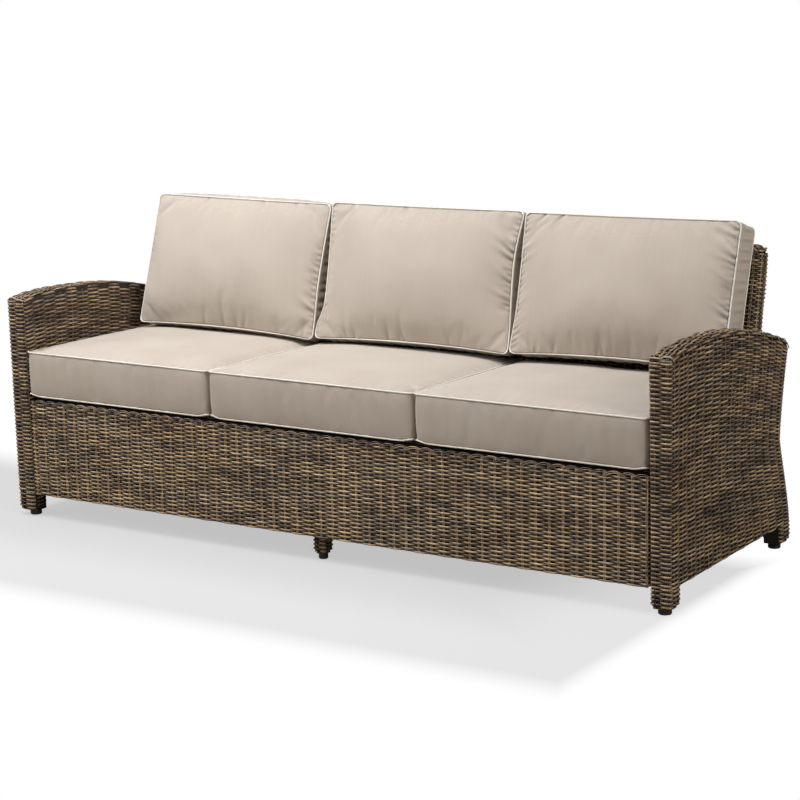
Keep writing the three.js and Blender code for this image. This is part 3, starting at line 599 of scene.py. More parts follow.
def arm_end_bend(rear, angle, sunk=0):
    """Depth and height on the rounded front or rear edge of an arm's top, at an angle up from level."""
    radius = REAR_TOP_ROUND if rear else FRONT_TOP_ROUND
    centre = ARM_TOP_REACH - radius if rear else radius
    bend = radius - ARM_INSET
    y = centre + (1 if rear else -1) * (bend - sunk) * np.cos(angle)
    return y, arch_height(centre, ARM_INSET) - bend + (bend - sunk) * np.sin(angle)


def arm_end_rows(side):
    """Short rows bind each end of an arm's top, over its rounded edge."""
    guides = []
    across = np.linspace(-ARM_HALF + 1, ARM_HALF - 1, 13)
    full = np.ones_like(across)
    for rear, degrees in ((False, (-14, 12, 38, 64, 88)), (True, (6, 24, 45, 67, 88))):
        for number, angle in enumerate(np.radians(degrees)):
            y, z = arm_end_bend(rear, angle, round_drop(ARM_HALF - abs(across), CORNER))
            level = math.cos(angle) if rear else -math.cos(angle)
            facing = np.c_[0 * y, level * full, math.sin(angle) * full]
            guides.append(guide(arm_place(side, y, across, z), facing, across / END_STAKE / 2 + number + 0.5))
    return guides


def arm_end_stakes(side):
    """The two stakes at each end bend over the rounded edge and run under the top rows."""
    guides = []
    for rear, sign, lowest in ((False, 1, -10), (True, -1, 8)):
        angle = np.radians(np.linspace(lowest, 90, 6))
        for across in (-END_STAKE, END_STAKE):
            y, z = arm_end_bend(rear, angle)
            y, z = np.r_[y, y[-1] + 16 * sign], np.r_[z, z[-1]]
            facing = np.c_[0 * y, np.r_[-sign * np.cos(angle), 0], np.r_[np.sin(angle), 1]]
            guides += doubled(arm_place(side, y, np.full_like(y, across), z), facing)
    return guides


# Legs: square woven sleeves
def leg_run(stake, side_length):
    """How far round a leg's sleeve a stake number is: two stakes in front, one at each side and two behind."""
    places = np.array([-0.31, 0.31, 1, 1.69, 2.31, 3, 3.69]) * side_length
    turns = np.floor(stake / 6)
    return np.interp(stake - 6 * turns, np.arange(7), places) + 4 * side_length * turns


def square_ring(run, flat, corner, arc):
    """Place and facing on a rounded square, from the middle of its front side."""
    side_length = 2 * flat + arc
    shifted = np.mod(run + flat + arc / 2, 4 * side_length)
    side = np.floor(shifted / side_length)
    place = shifted - side * side_length - arc / 2 - flat
    angle = np.clip((abs(place) - flat) / corner, 0, math.pi / 4) * np.sign(place)
    x = np.clip(place, -flat, flat) + corner * np.sin(angle)
    y = -flat - corner * np.cos(angle)
    turn = side * math.pi / 2
    spin = lambda a, b: (a * np.cos(turn) - b * np.sin(turn), a * np.sin(turn) + b * np.cos(turn))
    return *spin(x, y), *spin(np.sin(angle), -np.cos(angle))


def keep_leg(name, centre_x, centre_y, half, corner, low, high):
    """Weaves a sleeve round a leg; centre_y gives the leg's middle at each height."""
    flat, arc = half - corner, corner * math.pi / 2
    side_length = 2 * flat + arc

    def sleeve(run, level, taper=1, gap=0):
        x, y, face_x, face_y = square_ring(run, flat, corner, arc)
        x, y = x * taper - gap * face_x, y * taper - gap * face_y
        points = np.c_[centre_x + x, centre_y(level) + y + ARM_FRONT, level + 0 * x]
        return points, np.c_[face_x, face_y, 0 * x]

    rows, stakes = [], []
    stake = np.arange(0, 6.6, 0.125)
    for number, level in enumerate(np.arange(low + ROW_PITCH / 2, high, ROW_PITCH)):
        taper = 1 - round_drop(level - low, FOOT_TAPER) / half
        rows.append(guide(*sleeve(leg_run(stake, side_length), level, taper), stake + number))
    for number in range(6):
        rise = np.linspace(low + 4, high + 4, 4)
        stakes += doubled(*sleeve(leg_run(np.full(4, float(number)), side_length), rise))
    run = (np.arange(16) + 0.5) / 16 * 4 * side_length
    rings = [sleeve(run, level, gap=SHADE_SHELL_GAP)[0] for level in np.linspace(low + 6, high + 3, 4)]
    keep_rows(f"{name}_rows", rows, f"{name}_weave", finish=arm_wicker, proud=2.0)
    keep_stakes(f"{name}_stakes", stakes, **arm_stake_looks)
    keep_shade_shell(f"{name}_backing", rings, f"{name}_weave")


arm_stake_looks = dict(width=3.0, proud=0.0, finish=arm_stake_wicker)
arm_turns = np.arange(-0.5, 2 * ARM_SIDE_STAKES + 4.01, 0.25) - ARM_SIDE_STAKES / 2 - 3
arm_top_turns = np.arange(1.25, ARM_SIDE_STAKES + 0.76, 0.25)
arm_top_first = ARM_INSET + CORNER + FIRST_SIDE_STAKE
arm_top_last = rear_reach(ARM_FRONT_HEIGHT - ARM_TOP_DROP, arm_top_first)
arm_top_y = arm_top_first + (arm_top_turns - 1.5) / (ARM_SIDE_STAKES - 1) * (arm_top_last - arm_top_first)
for side, word in ((-1, "left"), (1, "right")):
    arm = SimpleNamespace(side_count=ARM_SIDE_STAKES, half=ARM_HALF, corner=CORNER, sway=(0.35, 1.7, 0.9),
                          ring=arm_ring, place=partial(arm_place, side), face=partial(arm_face, side),
                          top=arm_top, over=arm_top, slope=lambda y: (arch_y - y) / arch_radius)
    rings = slab_rows(arm, arm_turns, (np.arange(ARM_RINGS) + 0.5) / ARM_RINGS)
    top_rows = slab_top_rows(arm, arm_top_turns, arm_top_y, ARM_RINGS, ARM_TOP_ROWS) + arm_end_rows(side)
    keep_rows(f"{word}_arm_weave_rows", rings, f"{word}_arm_weave", finish=arm_wicker)
    keep_rows(f"{word}_arm_top_rows", top_rows, finish=arm_wicker)
    keep_stakes(f"{word}_arm_stakes", slab_stakes(arm, np.linspace(0.002, 0.998, 12)) + arm_end_stakes(side),
                **arm_stake_looks)
    shade_shell = slab_shade_shell(arm, np.linspace(-0.004, 1, 10), lambda y: arm_top(y, SHADE_SHELL_GAP + 1), 2)
    keep_shade_shell(f"{word}_arm_backing", shade_shell, f"{word}_arm_weave")
    centre_x = side * WOVEN_MIDDLE - (LEFT_LEG_OUT if side < 0 else 0)
    for place, centre_y in (("front", lambda z: ARM_INSET + ARM_HALF),
                            ("rear", lambda z: rear_reach(z, ARM_INSET + ARM_HALF))):
        keep_leg(f"{word}_{place}_leg", centre_x, centre_y, ARM_HALF, CORNER, FOOT_LEVEL + 1, ARM_BOTTOM + 1)
for place, depth in MIDDLE_LEG_DEPTHS.items():
    keep_leg(f"{place}_middle_leg", 0, lambda z, depth=depth: depth, MIDDLE_LEG_HALF, MIDDLE_LEG_CORNER,
             FOOT_LEVEL + 1, APRON_BOTTOM + 2)


# Aprons
def apron_line(run, half, facing_y):
    """Bends a length round the apron's two end returns."""
    beyond = np.clip(abs(run) - (half - APRON_BEND), 0, None)
    angle = np.clip(beyond / APRON_BEND, 0, math.pi / 2)
    x = np.sign(run) * (np.minimum(abs(run), half - APRON_BEND) + APRON_BEND * np.sin(angle))
    x = x * np.where(run < 0, APRON_LEFT, APRON_RIGHT) / (APRON_HALF - WEAVE_INSET)
    inward = APRON_BEND * (1 - np.cos(angle)) + np.clip(beyond - APRON_BEND * math.pi / 2, 0, APRON_RETURN)
    return x, inward, np.c_[np.sign(run) * np.sin(angle), facing_y * np.cos(angle), 0 * run]


def apron_weave(front, facing_y, levels):
    """Rows of an apron, from the return at one end to the return at the other, its stakes and the rings of its dark
    shell, painted shade for its inside.
    """
    rows, rings, stakes = [], [], []
    half = APRON_HALF - WEAVE_INSET
    gaps = round(2 * half / STAKE_PITCH)
    pitch = 2 * half / gaps
    stake = np.arange(-0.5, gaps + 0.51, 0.25)
    run = stake * pitch - half
    x, inward, facing = apron_line(run, half, facing_y)
    for number, level in enumerate(levels):
        sway = 0.9 * np.sin(run / 170 + number * 0.21) + 0.5 * np.sin(run / 61 + number * 0.7)
        fade = min(1, number / 6, (len(levels) - 1 - number) / 6)
        points = np.c_[x, front - facing_y * inward + ARM_FRONT, level + sway * fade]
        rows.append(guide(points, facing, stake + number))
    ends = half + np.array([-5.0, -2.0, 0.5, 3.0, 8.0, 24.0])
    x, inward, facing = apron_line(np.r_[-ends[::-1], ends], half, facing_y)
    y = front - facing_y * inward + ARM_FRONT
    for level in (levels[0] - 2.5, levels[-1]):
        near, deep = (np.c_[x - gap * facing[:, 0], y - gap * facing[:, 1], np.full_like(x, level)]
                      for gap in (SHADE_SHELL_GAP, SHADE_SHELL_GAP + 1))
        rings.append(np.concatenate([near, deep[::-1]]))
    rise = np.linspace(levels[0] - 2, levels[-1] + 8, 7)
    for place in np.clip(np.arange(gaps + 1) * pitch - half, -half, half):
        lean = 1.2 * np.sin(place / 97) * np.sin((rise - rise[0]) / 80)
        points = np.c_[place + lean, np.full(7, front + ARM_FRONT), rise]
        stakes += doubled(points, np.tile((0, facing_y, 0), (7, 1)))
    return rows, stakes, rings, pitch


def apron_border(front, pitch, level):
    """Each stake's pair of ends bends over in a low arch and tucks in behind the next stake."""
    guides = []
    half = APRON_HALF - WEAVE_INSET
    share = np.linspace(0, 1, 11)
    arch = np.sin(math.pi * share)
    for start in np.arange(-half, half - pitch + 1, pitch):
        for lift, gap in ((15.0, 2.4), (11.0, -2.0)):
            x = start - gap + (1.5 * pitch + gap * 0.6) * share
            y = front - 2.4 + 5.6 * smooth_step(share, 0.35, 1) + ARM_FRONT
            points = np.c_[x, y, level - 3 + lift * arch ** 0.72]
            guides.append(guide(points, np.c_[0 * x, -np.ones_like(x), 0.35 * arch], 0 * x))
    return guides


apron_levels = np.arange(APRON_BOTTOM + 1, APRON_TOP, ROW_PITCH)
for word, front, facing_y in (("front", WEAVE_INSET, -1), ("rear", WAIST_REACH - WEAVE_INSET, 1)):
    rows, stakes, rings, pitch = apron_weave(front, facing_y, apron_levels)
    keep_rows(f"{word}_apron_rows", rows, f"{word}_apron_weave")
    keep_stakes(f"{word}_apron_stakes", stakes)
    keep_shade_shell(f"{word}_apron_backing", rings, f"{word}_apron_weave")
keep_stakes("front_apron_border", apron_border(WEAVE_INSET, pitch, apron_levels[-1]), 2.7, 2.7, 0.0, border_wicker)


# Back panel
back_end = BACK_HALF - ARM_INSET
back_ring_top = BACK_HEIGHT - BACK_TOP_ROUND - ROW_PITCH / 2


def back_place(x, across, height):
    """A point of the leaned back panel; across is towards the rear from its middle plane."""
    level = across - PANEL_THICKNESS / 2
    y = WAIST_REACH + level * math.cos(BACK_LEAN) + height * math.sin(BACK_LEAN) + ARM_FRONT
    z = BACK_BASE - level * math.sin(BACK_LEAN) + height * math.cos(BACK_LEAN)
    return np.c_[x, y, z]


def back_face(x, across, up):
    y = across * math.cos(BACK_LEAN) + up * math.sin(BACK_LEAN)
    z = -across * math.sin(BACK_LEAN) + up * math.cos(BACK_LEAN)
    return np.c_[x, y, z]


def back_ring(height, stake):
    """Points of the back's ring at a height, with how they face; above the arms it is a little wider."""
    end = back_end - float(round_drop(BACK_HEIGHT - height, BACK_CORNER_ROUND))
    end += BACK_WIDER * smooth_step(height, BACK_WIDER_FROM, BACK_WIDER_TO)
    x, across, face_x, face_across = slab_ring(stake, BACK_SIDE_STAKES, -end, end, BACK_THICK, CORNER)
    return x, across, height + 0 * x, face_x, face_across


def back_top(x, drop, inset=ARM_INSET):
    return BACK_HEIGHT - WEAVE_INSET - drop - round_drop(BACK_HALF - inset - abs(x), BACK_CORNER_ROUND)


def back_end_rows():
    """Short rows that close the weave round the top of each end."""
    rows = []
    whole = 2 * BACK_SIDE_STAKES + 4
    for centre in (0, whole / 2):
        turn = centre + np.arange(-1, 1.01, 0.25)
        for number in (1, 2):
            height = min(back_ring_top + number * ROW_PITCH, BACK_HEIGHT - WEAVE_INSET - 3)
            x, across, z, face_x, face_across = back_ring(height, turn % whole)
            narrow = 1 - round_drop(BACK_HEIGHT - height, BACK_TOP_ROUND) / (BACK_THICK / 2)
            facing = back_face(face_x, face_across, 0 * x)
            rows.append(guide(back_place(x, across * narrow, z), facing, turn + number + 0.5))
    return rows


back = SimpleNamespace(side_count=BACK_SIDE_STAKES, half=BACK_THICK, corner=BACK_TOP_ROUND - WEAVE_INSET,
                       sway=(0.5, 0.35, 0.3), ring=back_ring, place=back_place, face=back_face, top=back_top,
                       over=lambda x, drop: BACK_HEIGHT - WEAVE_INSET - drop, slope=lambda x: 0 * x)
half_way = BACK_SIDE_STAKES + 2
back_levels = 2 + (np.arange(BACK_RINGS) + 0.5) / BACK_RINGS * (back_ring_top - 2)
for word, first in (("rear", 0), ("front", half_way)):
    turns = np.arange(first - 0.25, first + half_way + 0.26, 0.25)
    keep_rows(f"back_weave_{word}_rows", slab_rows(back, turns, back_levels), "back_weave", sides=5)
back_top_turns = np.arange(1, BACK_SIDE_STAKES + 1.01, 0.25) + 0.5
side_end = back_end - CORNER - FIRST_SIDE_STAKE
back_top_x = -side_end + (back_top_turns - 1.5) / (BACK_SIDE_STAKES - 1) * 2 * side_end
back_top_x = np.clip(back_top_x, -back_end + 4, back_end - 4)
keep_rows("back_top_rows",
          slab_top_rows(back, back_top_turns, back_top_x, BACK_RINGS, BACK_TOP_ROWS) + back_end_rows())
keep_stakes("back_stakes", slab_stakes(back, np.linspace(2, back_ring_top, 8)))
back_crown = partial(back_top, drop=SHADE_SHELL_GAP + 1, inset=6)
keep_shade_shell("back_backing", slab_shade_shell(back, np.linspace(2, BACK_HEIGHT - BACK_TOP_ROUND, 8), back_crown, 3),
             "back_weave")


# Seat deck: an open flat weave under the cushions
DECK_BAND, DECK_PITCH = 73, 10.6


def deck_guides():
    low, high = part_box("seat_deck_weave")
    x0, x1, y0, y1 = (v / MM for v in (low.x, high.x, low.y, high.y))
    level = (low.z + high.z) / 2 / MM
    guides, stakes = [], []
    stake = np.arange(0, (x1 - x0 - 4) / DECK_BAND, 0.5)
    x = x0 + 2 + stake * DECK_BAND
    for number, y in enumerate(np.arange(y0 + 7, y1 - 5, DECK_PITCH)):
        points = np.c_[x, np.full_like(x, y), np.full_like(x, level)]
        guides.append(guide(points, np.tile((0, 0, 1), (len(x), 1)), stake + number))
    for place in np.arange(x0 + 2, x1 - 2, DECK_BAND):
        y = np.linspace(y0 + 3, y1 - 3, 3)
        stakes += doubled(np.c_[np.full(3, place), y, np.full(3, level)], np.tile((0, 0, 1), (3, 1)), 4.5)
    return guides, stakes


deck_rows, deck_stakes = deck_guides()
keep_rows("seat_deck_rows", deck_rows, "seat_deck_weave", width=9.5, thickness=1.6, proud=1.3)
keep_stakes("seat_deck_stakes", deck_stakes, 8.0, 1.6, 0.0)


# Cushions
SEAM = 3
CROWN_CUT = 0.75
CORNER_LIFT_REACH = 42
SWELL_FRAMES = 20
SEAT_WIDE, SEAT_DEEP, REST_WIDE, REST_TALL = 610, 546, 594, 373
SEAT = dict(width=SEAT_WIDE, length=SEAT_DEEP, thickness=124, cell=11, rear_drop=11, crown=19, power=3.6,
            rear_crown=0, near_draw=2, far_draw=3, bulge=2, near_bulge=1, far_bulge=2, corner=7, slant=0, lift=8,
            tuck=1, crown_low=0, hollow=0.25, pleat_shade=0.35, shade_under=0, swell_cap=4)
REST = dict(width=REST_WIDE, length=REST_TALL, thickness=88, cell=7, rear_drop=0, crown=58, power=2.1,
            rear_crown=6, near_draw=10, far_draw=1, bulge=1, near_bulge=8, far_bulge=1, corner=15, slant=8, lift=0,
            tuck=0, crown_low=0.06, hollow=0.5, pleat_shade=1.7, shade_under=3.4, swell_cap=5)
SEAT_PITCH, SEAT_FRONT, SEAT_BASE = 613, 2, 333.3
REST_PITCH, REST_FOOT_Y, REST_FOOT_Z = 597, 512.58, 446.49
REST_LEAN = math.radians(16.5)


def crown_share(share, power):
    return 1 - np.minimum(abs(share), 1) ** power


def edged(length, cells):
    """Cell lines along a length, closer together beside the seams."""
    return np.r_[0, 3, 8, np.linspace(16, length - 16, cells), length - 8, length - 3, length]


def cushion_lattice(width, length, thickness, cell):
    """A box's surface as a lattice: its points, as line numbers on each axis, and its faces."""
    side = np.linspace(14, thickness - 14, round(thickness / 11) - 2)
    lines = [edged(width - 2 * SEAM, round(width / cell)) - (width / 2 - SEAM),
             edged(length - 2 * SEAM, round(length / cell)) + SEAM,
             np.r_[SEAM, 2 * SEAM, side, thickness - 2 * SEAM, thickness - SEAM]]
    counts = [len(line) - 1 for line in lines]
    index, keys, faces = {}, [], []

    def corner(key):
        if key not in index:
            index[key] = len(keys)
            keys.append(key)
        return index[key]

    for axis in range(3):
        a, b = (axis + 1) % 3, (axis + 2) % 3
        for end in (0, counts[axis]):
            for i in range(counts[a]):
                for j in range(counts[b]):
                    loop = []
                    for u, v in ((i, j), (i + 1, j), (i + 1, j + 1), (i, j + 1)):
                        key = [0, 0, 0]
                        key[axis], key[a], key[b] = end, u, v
                        loop.append(corner(tuple(key)))
                    faces.append(loop if end else loop[::-1])
    keys = np.array(keys)
    flat = np.c_[lines[0][keys[:, 0]], lines[1][keys[:, 1]], lines[2][keys[:, 2]]]
    return flat, keys, counts, faces


def corner_rounded(x, y, half_x, half_y, radius):
    """Draws a rectangle's corner squares into quarter circles."""
    over_x, over_y = abs(x) - (half_x - radius), abs(y) - (half_y - radius)
    inside = (over_x > 0) & (over_y > 0)
    far = np.hypot(over_x, over_y)
    pull = np.where(inside, np.maximum(over_x, over_y) / np.where(far > 0, far, 1), 1)
    new_x = np.where(inside, np.sign(x) * (half_x - radius + over_x * pull), x)
    new_y = np.where(inside, np.sign(y) * (half_y - radius + over_y * pull), y)
    return new_x, new_y


def cushion_form(flat, plan):
    """The cushion's sewn shape from the flat lattice: drawn-in sides, crowned faces and slanted foot."""
    width, length, thickness = plan.width, plan.length, plan.thickness
    half_x, half_y = width / 2 - SEAM, length / 2 - SEAM
    x, y = corner_rounded(flat[:, 0], flat[:, 1] - length / 2, half_x, half_y, plan.corner)
    corners = np.array(plan.corners, float)
    share_x, share_y = x / half_x, y / half_y
    seam = thickness - plan.rear_drop * (y / length + 0.5)
    level = flat[:, 2] / thickness
    middle = np.sin(math.pi * np.clip(level, 0, 1)) ** 2
    pull_x = np.zeros_like(x)
    for sign, (amount, peak, foot) in ((-1, plan.left), (1, plan.right)):
        swell = np.where(share_y > peak, 1 - np.clip((share_y - peak) / (1 - peak), 0, 1) ** 1.6,
                         smooth_step(share_y, foot, peak))
        pull_x += np.where(sign * x > 0, amount * swell * abs(share_x) ** 1.5, 0)
    draw = np.where(y > 0, plan.far_draw, plan.near_draw)
    pull_y = draw * (1 - share_x ** 2) * abs(share_y) ** 3
    edge = np.maximum(abs(share_x), abs(share_y)) > 0.999
    bulge = np.where(edge, plan.bulge * middle, 0)
    end_bulge = np.where(y < 0, plan.near_bulge, plan.far_bulge)
    end_bulge = np.where(edge, end_bulge * middle * (1 - 0.6 * share_x ** 4), 0)
    new_x = x - np.sign(x) * pull_x + np.where(abs(share_x) > 0.97, np.sign(x) * bulge, 0)
    new_y = y - np.sign(y) * pull_y + np.where(abs(share_y) > 0.97, np.sign(y) * end_bulge, 0)
    crown = crown_share(share_x, plan.power)
    crown = crown * crown_share(share_y + plan.crown_low * (1 - share_y ** 2), plan.power)
    inner = np.minimum(half_x - abs(x), half_y - abs(y))
    lip = 1 - np.exp(-np.maximum(inner, 0) / 4)
    on_top, on_bottom = flat[:, 2] > thickness - SEAM - 0.01, flat[:, 2] < SEAM + 0.01
    z = flat[:, 2] * seam / thickness
    # The cut gives most of the crown, and the filling swells the rest.
    z = np.where(on_top, seam - SEAM + SEAM * lip + plan.crown * CROWN_CUT * crown, z)
    z = np.where(on_bottom, SEAM - SEAM * lip - plan.rear_crown * CROWN_CUT * crown, z)
    # The lower seam is drawn in at the sides and lifts at the corners.
    low = 1 - np.clip(z, 0, thickness) / thickness
    new_x = new_x - np.sign(x) * plan.tuck * low * abs(share_x) ** 6
    lift_x, lift_y = (np.clip(1 - (half - abs(place)) / CORNER_LIFT_REACH, 0, 1) ** 2
                      for half, place in ((half_x, x), (half_y, y)))
    z = z + plan.lift * low * lift_x * lift_y
    new_y = new_y + length / 2
    slant = plan.slant * (1 - np.clip(z, 0, thickness) / thickness) * (1 - new_y / length)
    # The cushion lies a little askew: each of its corners, from the lower left and round, has moved this far.
    right_share, up_share = (share_x + 1) / 2, (share_y + 1) / 2
    left_share, down_share = 1 - right_share, 1 - up_share
    shares = (left_share * down_share, right_share * down_share, right_share * up_share, left_share * up_share)
    moved = sum(share[:, None] * corner for share, corner in zip(shares, corners))
    return np.c_[new_x + moved[:, 0], new_y + slant + moved[:, 1], z]


def make_folds(seed, length, places, width, depth, reach, lean):
    """Small folds along a seam: each has a place, width, reach, lean and depth, with some scatter."""
    dice = np.random.default_rng(seed)
    folds = []
    for place in places:
        folds.append((place * length + dice.uniform(-2, 2), dice.uniform(0.8, 1.25) * width,
                      dice.uniform(0.65, 1.4) * reach, lean + dice.uniform(-0.15, 0.15),
                      dice.uniform(0.7, 1.4) * depth))
    return folds


def spread(first, last, spacing, length):
    """Shares of a seam's length, evenly spaced from the first to the last."""
    return np.linspace(first, last, max(2, round((last - first) * length / spacing)))


def fold_depth(folds, along, away):
    """How far the cloth sinks at a place along a seam and a distance in from it."""
    total = np.zeros_like(along)
    for place, width, reach, lean, depth in folds:
        wide = width * (1 + 1.2 * away / reach)
        shift = (along - place - lean * away) / wide
        near = (1 - np.exp(-away / 2.5)) * np.exp(-(away / reach) ** 1.5)
        total += depth * near * (np.exp(-shift ** 2) - 0.5 * np.exp(-(shift - 1.8) ** 2))
    return total


def puff(piece, seam_points, cap):
    """Fills the cushion: the seams hold still while pressure swells the cloth, up to a cap."""
    start = np.array([v.co[:] for v in piece.data.vertices])
    held = piece.vertex_groups.new(name="seams")
    held.add([int(i) for i in seam_points], 1.0, "REPLACE")
    cloth = piece.modifiers.new("cloth", "CLOTH").settings
    cloth.vertex_group_mass = "seams"
    cloth.quality = 5
    cloth.mass = 0.3
    cloth.tension_stiffness = cloth.compression_stiffness = 12
    cloth.shear_stiffness = 4
    cloth.bending_stiffness = 0.4
    cloth.shrink_min = -0.015
    cloth.use_pressure = True
    cloth.uniform_pressure_force = 4
    cloth.effector_weights.gravity = 0
    scene = bpy.context.scene
    for number in range(1, SWELL_FRAMES + 1):
        scene.frame_set(number)
    swollen = piece.evaluated_get(bpy.context.evaluated_depsgraph_get())
    end = np.array([v.co[:] for v in swollen.data.vertices])
    piece.modifiers.clear()
    piece.vertex_groups.clear()
    scene.frame_set(1)
    move = end - start
    far = np.linalg.norm(move, axis=1)
    limit = cap * MM
    scale = limit * np.tanh(far / limit) / np.maximum(far, 1e-9)
    piece.data.vertices.foreach_set("co", (start + move * scale[:, None]).astype(np.float32).ravel())


def make_cushion(name, plan, seed, placed):
    """Sews, fills, folds and pipes one cushion; plan gives its measures, corners and folds."""
    plan = SimpleNamespace(**plan)
    flat, keys, counts, faces = cushion_lattice(plan.width, plan.length, plan.thickness, plan.cell)
    shape = cushion_form(flat, plan)
    mesh = bpy.data.meshes.new(name)
    mesh.from_pydata((shape * MM).tolist(), [], faces)
    mark(mesh, "cut", flat)
    on_side = (keys[:, 0] == 0) | (keys[:, 0] == counts[0]) | (keys[:, 1] == 0) | (keys[:, 1] == counts[1])
    seams = [np.flatnonzero(on_side & (keys[:, 2] == level)) for level in (0, counts[2])]
    piece = add_object(name, mesh)
    puff(piece, np.concatenate(seams), plan.swell_cap)
    finer = piece.modifiers.new("finer", "SUBSURF")
    finer.levels = finer.render_levels = 1
    made = settle(piece, name)
    crease_cloth(made, plan, seed)
    made.polygons.foreach_set("use_smooth", np.ones(len(made.polygons), bool))
    made.attributes.remove(made.attributes["cut"])
    made.materials.append(cushion_canvas)
    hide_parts(name)
    piping = []
    for ring in seams:
        line = shape[ring] - (0, plan.length / 2, 0)
        line = line[np.argsort(np.arctan2(line[:, 1], line[:, 0]))]
        piping.append(guide(line + (0, plan.length / 2, 0), line * (1, 1, 0), np.zeros(len(line)), True))
    cord = strand_piece(f"{name}_piping", piping, piping_canvas, 8, 2 * PIPING_RADIUS, 2 * PIPING_RADIUS, 0)
    for part in (piece, cord):
        part.data.transform(placed)
        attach(part, name)


def crease_cloth(mesh, plan, seed):
    """Puckers the cloth beside its seams, along each vertex's normal, and tells the canvas how far each point is from
    the nearest seam and how deep in a fold, for the canvas's painted shade."""
    cut, place = read(mesh.attributes["cut"].data, "vector", 3), read(mesh.vertices, "co", 3)
    normal = read(mesh.vertex_normals, "vector", 3)
    width, length, thickness = plan.width, plan.length, plan.thickness
    x, y, z = cut[:, 0] + width / 2, cut[:, 1], cut[:, 2]
    sides = {"left": (y, x, length), "right": (y, width - x, length), "near": (x, y, width),
             "far": (x, length - y, width)}
    edge = np.minimum.reduce([x, width - x, y, length - y])
    rim = np.minimum(z, thickness - z) - SEAM
    mark(mesh, "seam", np.maximum(edge - SEAM, 0) + np.maximum(rim, 0))
    on_face, on_boxing = z > thickness - SEAM - 0.2, rim > 0.5
    depth = np.zeros(len(cut))
    for number, (side, places, wide, fold, reach, lean) in enumerate(plan.face):
        along, away, whole = sides[side]
        folds = make_folds(seed + number, whole, places, wide, fold, reach, lean)
        depth += np.where(on_face, fold_depth(folds, along, np.maximum(away - SEAM, 0)), 0)
    lively = np.sin(math.pi * np.clip(rim / (thickness / 2 - SEAM), 0, 1) / 2)
    for number, (side, places, wide, fold) in enumerate(plan.boxing):
        along, away, whole = sides[side]
        folds = make_folds(seed + 20 + number, whole, places, wide, fold, 400, 0)
        here = (away < SEAM + 0.2) & on_boxing
        skewed = along + 0.12 * (z - thickness / 2)
        depth += np.where(here, fold_depth(folds, skewed, np.full(len(cut), 9.0)) * lively, 0)
    # Painted shade: the boxing under a back cushion is darkened for the gap's shade, and pleat_shade scales the shade
    # painted in the boxing's pleats, deeper on the back cushions and fainter on the seats.
    under = np.where(on_boxing & (y < SEAM + 0.2), plan.shade_under, 0)
    mark(mesh, "fold", depth * np.where(on_boxing, plan.pleat_shade, 1.0) + under)
    # The filling lies in soft hollows a hand wide.
    dice = np.random.default_rng(seed + 50)
    inner = np.clip(edge / 60, 0, 1)
    for _ in range(5):
        turn, phase = dice.uniform(0, math.pi), dice.uniform(0, 2 * math.pi)
        wave = np.sin((x * math.cos(turn) + y * math.sin(turn)) * 2 * math.pi / dice.uniform(130, 260) + phase)
        depth += np.where(on_face, plan.hollow * wave * inner, 0)
    moved = place - normal * (depth * MM)[:, None]
    mesh.vertices.foreach_set("co", moved.astype(np.float32).ravel())


# Folds: on a face, each set's seam, places along it, width, depth, reach and lean; on the boxing the first four.
seat_pleats, seat_folds = spread(0.05, 0.95, 30, SEAT_DEEP), spread(0.05, 0.95, 26, SEAT_DEEP)
seat_boxing = [("near", spread(0.03, 0.97, 37, SEAT_WIDE), 9, 0.5), ("left", seat_pleats, 5, 1.0),
               ("right", seat_pleats, 5, 1.0)]
seat_face = [("near", spread(0.04, 0.96, 30, SEAT_WIDE), 5, 0.7, 16, 0), ("left", seat_folds, 4, 0.9, 18, 0),
             ("right", seat_folds, 4, 0.9, 18, 0)]
up_rest = partial(spread, length=REST_TALL)
rest_boxing = [("left", up_rest(0.05, 0.95, 20), 4, 2.0), ("right", up_rest(0.05, 0.95, 24), 4, 1.2),
               ("near", spread(0.05, 0.95, 34, REST_WIDE), 5, 2.0), ("far", spread(0.05, 0.95, 46, REST_WIDE), 6, 0.8)]
SEAT.update(face=seat_face, boxing=seat_boxing)
REST.update(boxing=rest_boxing)
seats = {
    "left": dict(left=(0, 0, -1), right=(2, 0, -1), corners=((-12, 0), (-14, 0), (-12, 0), (-9, 0))),
    "middle": dict(left=(2, 0, -1), right=(2, 0, -1), corners=((-15, 0), (-11, 0), (-9, 0), (-13, 0)),
                   face=seat_face + [("right", (0.02, 0.05), 5, 3.0, 26, 0.3)]),
    "right": dict(left=(2, 0, -1), right=(0, 0, -1), corners=((-11, 0), (0, 0), (0, 0), (-9, 0))),
}
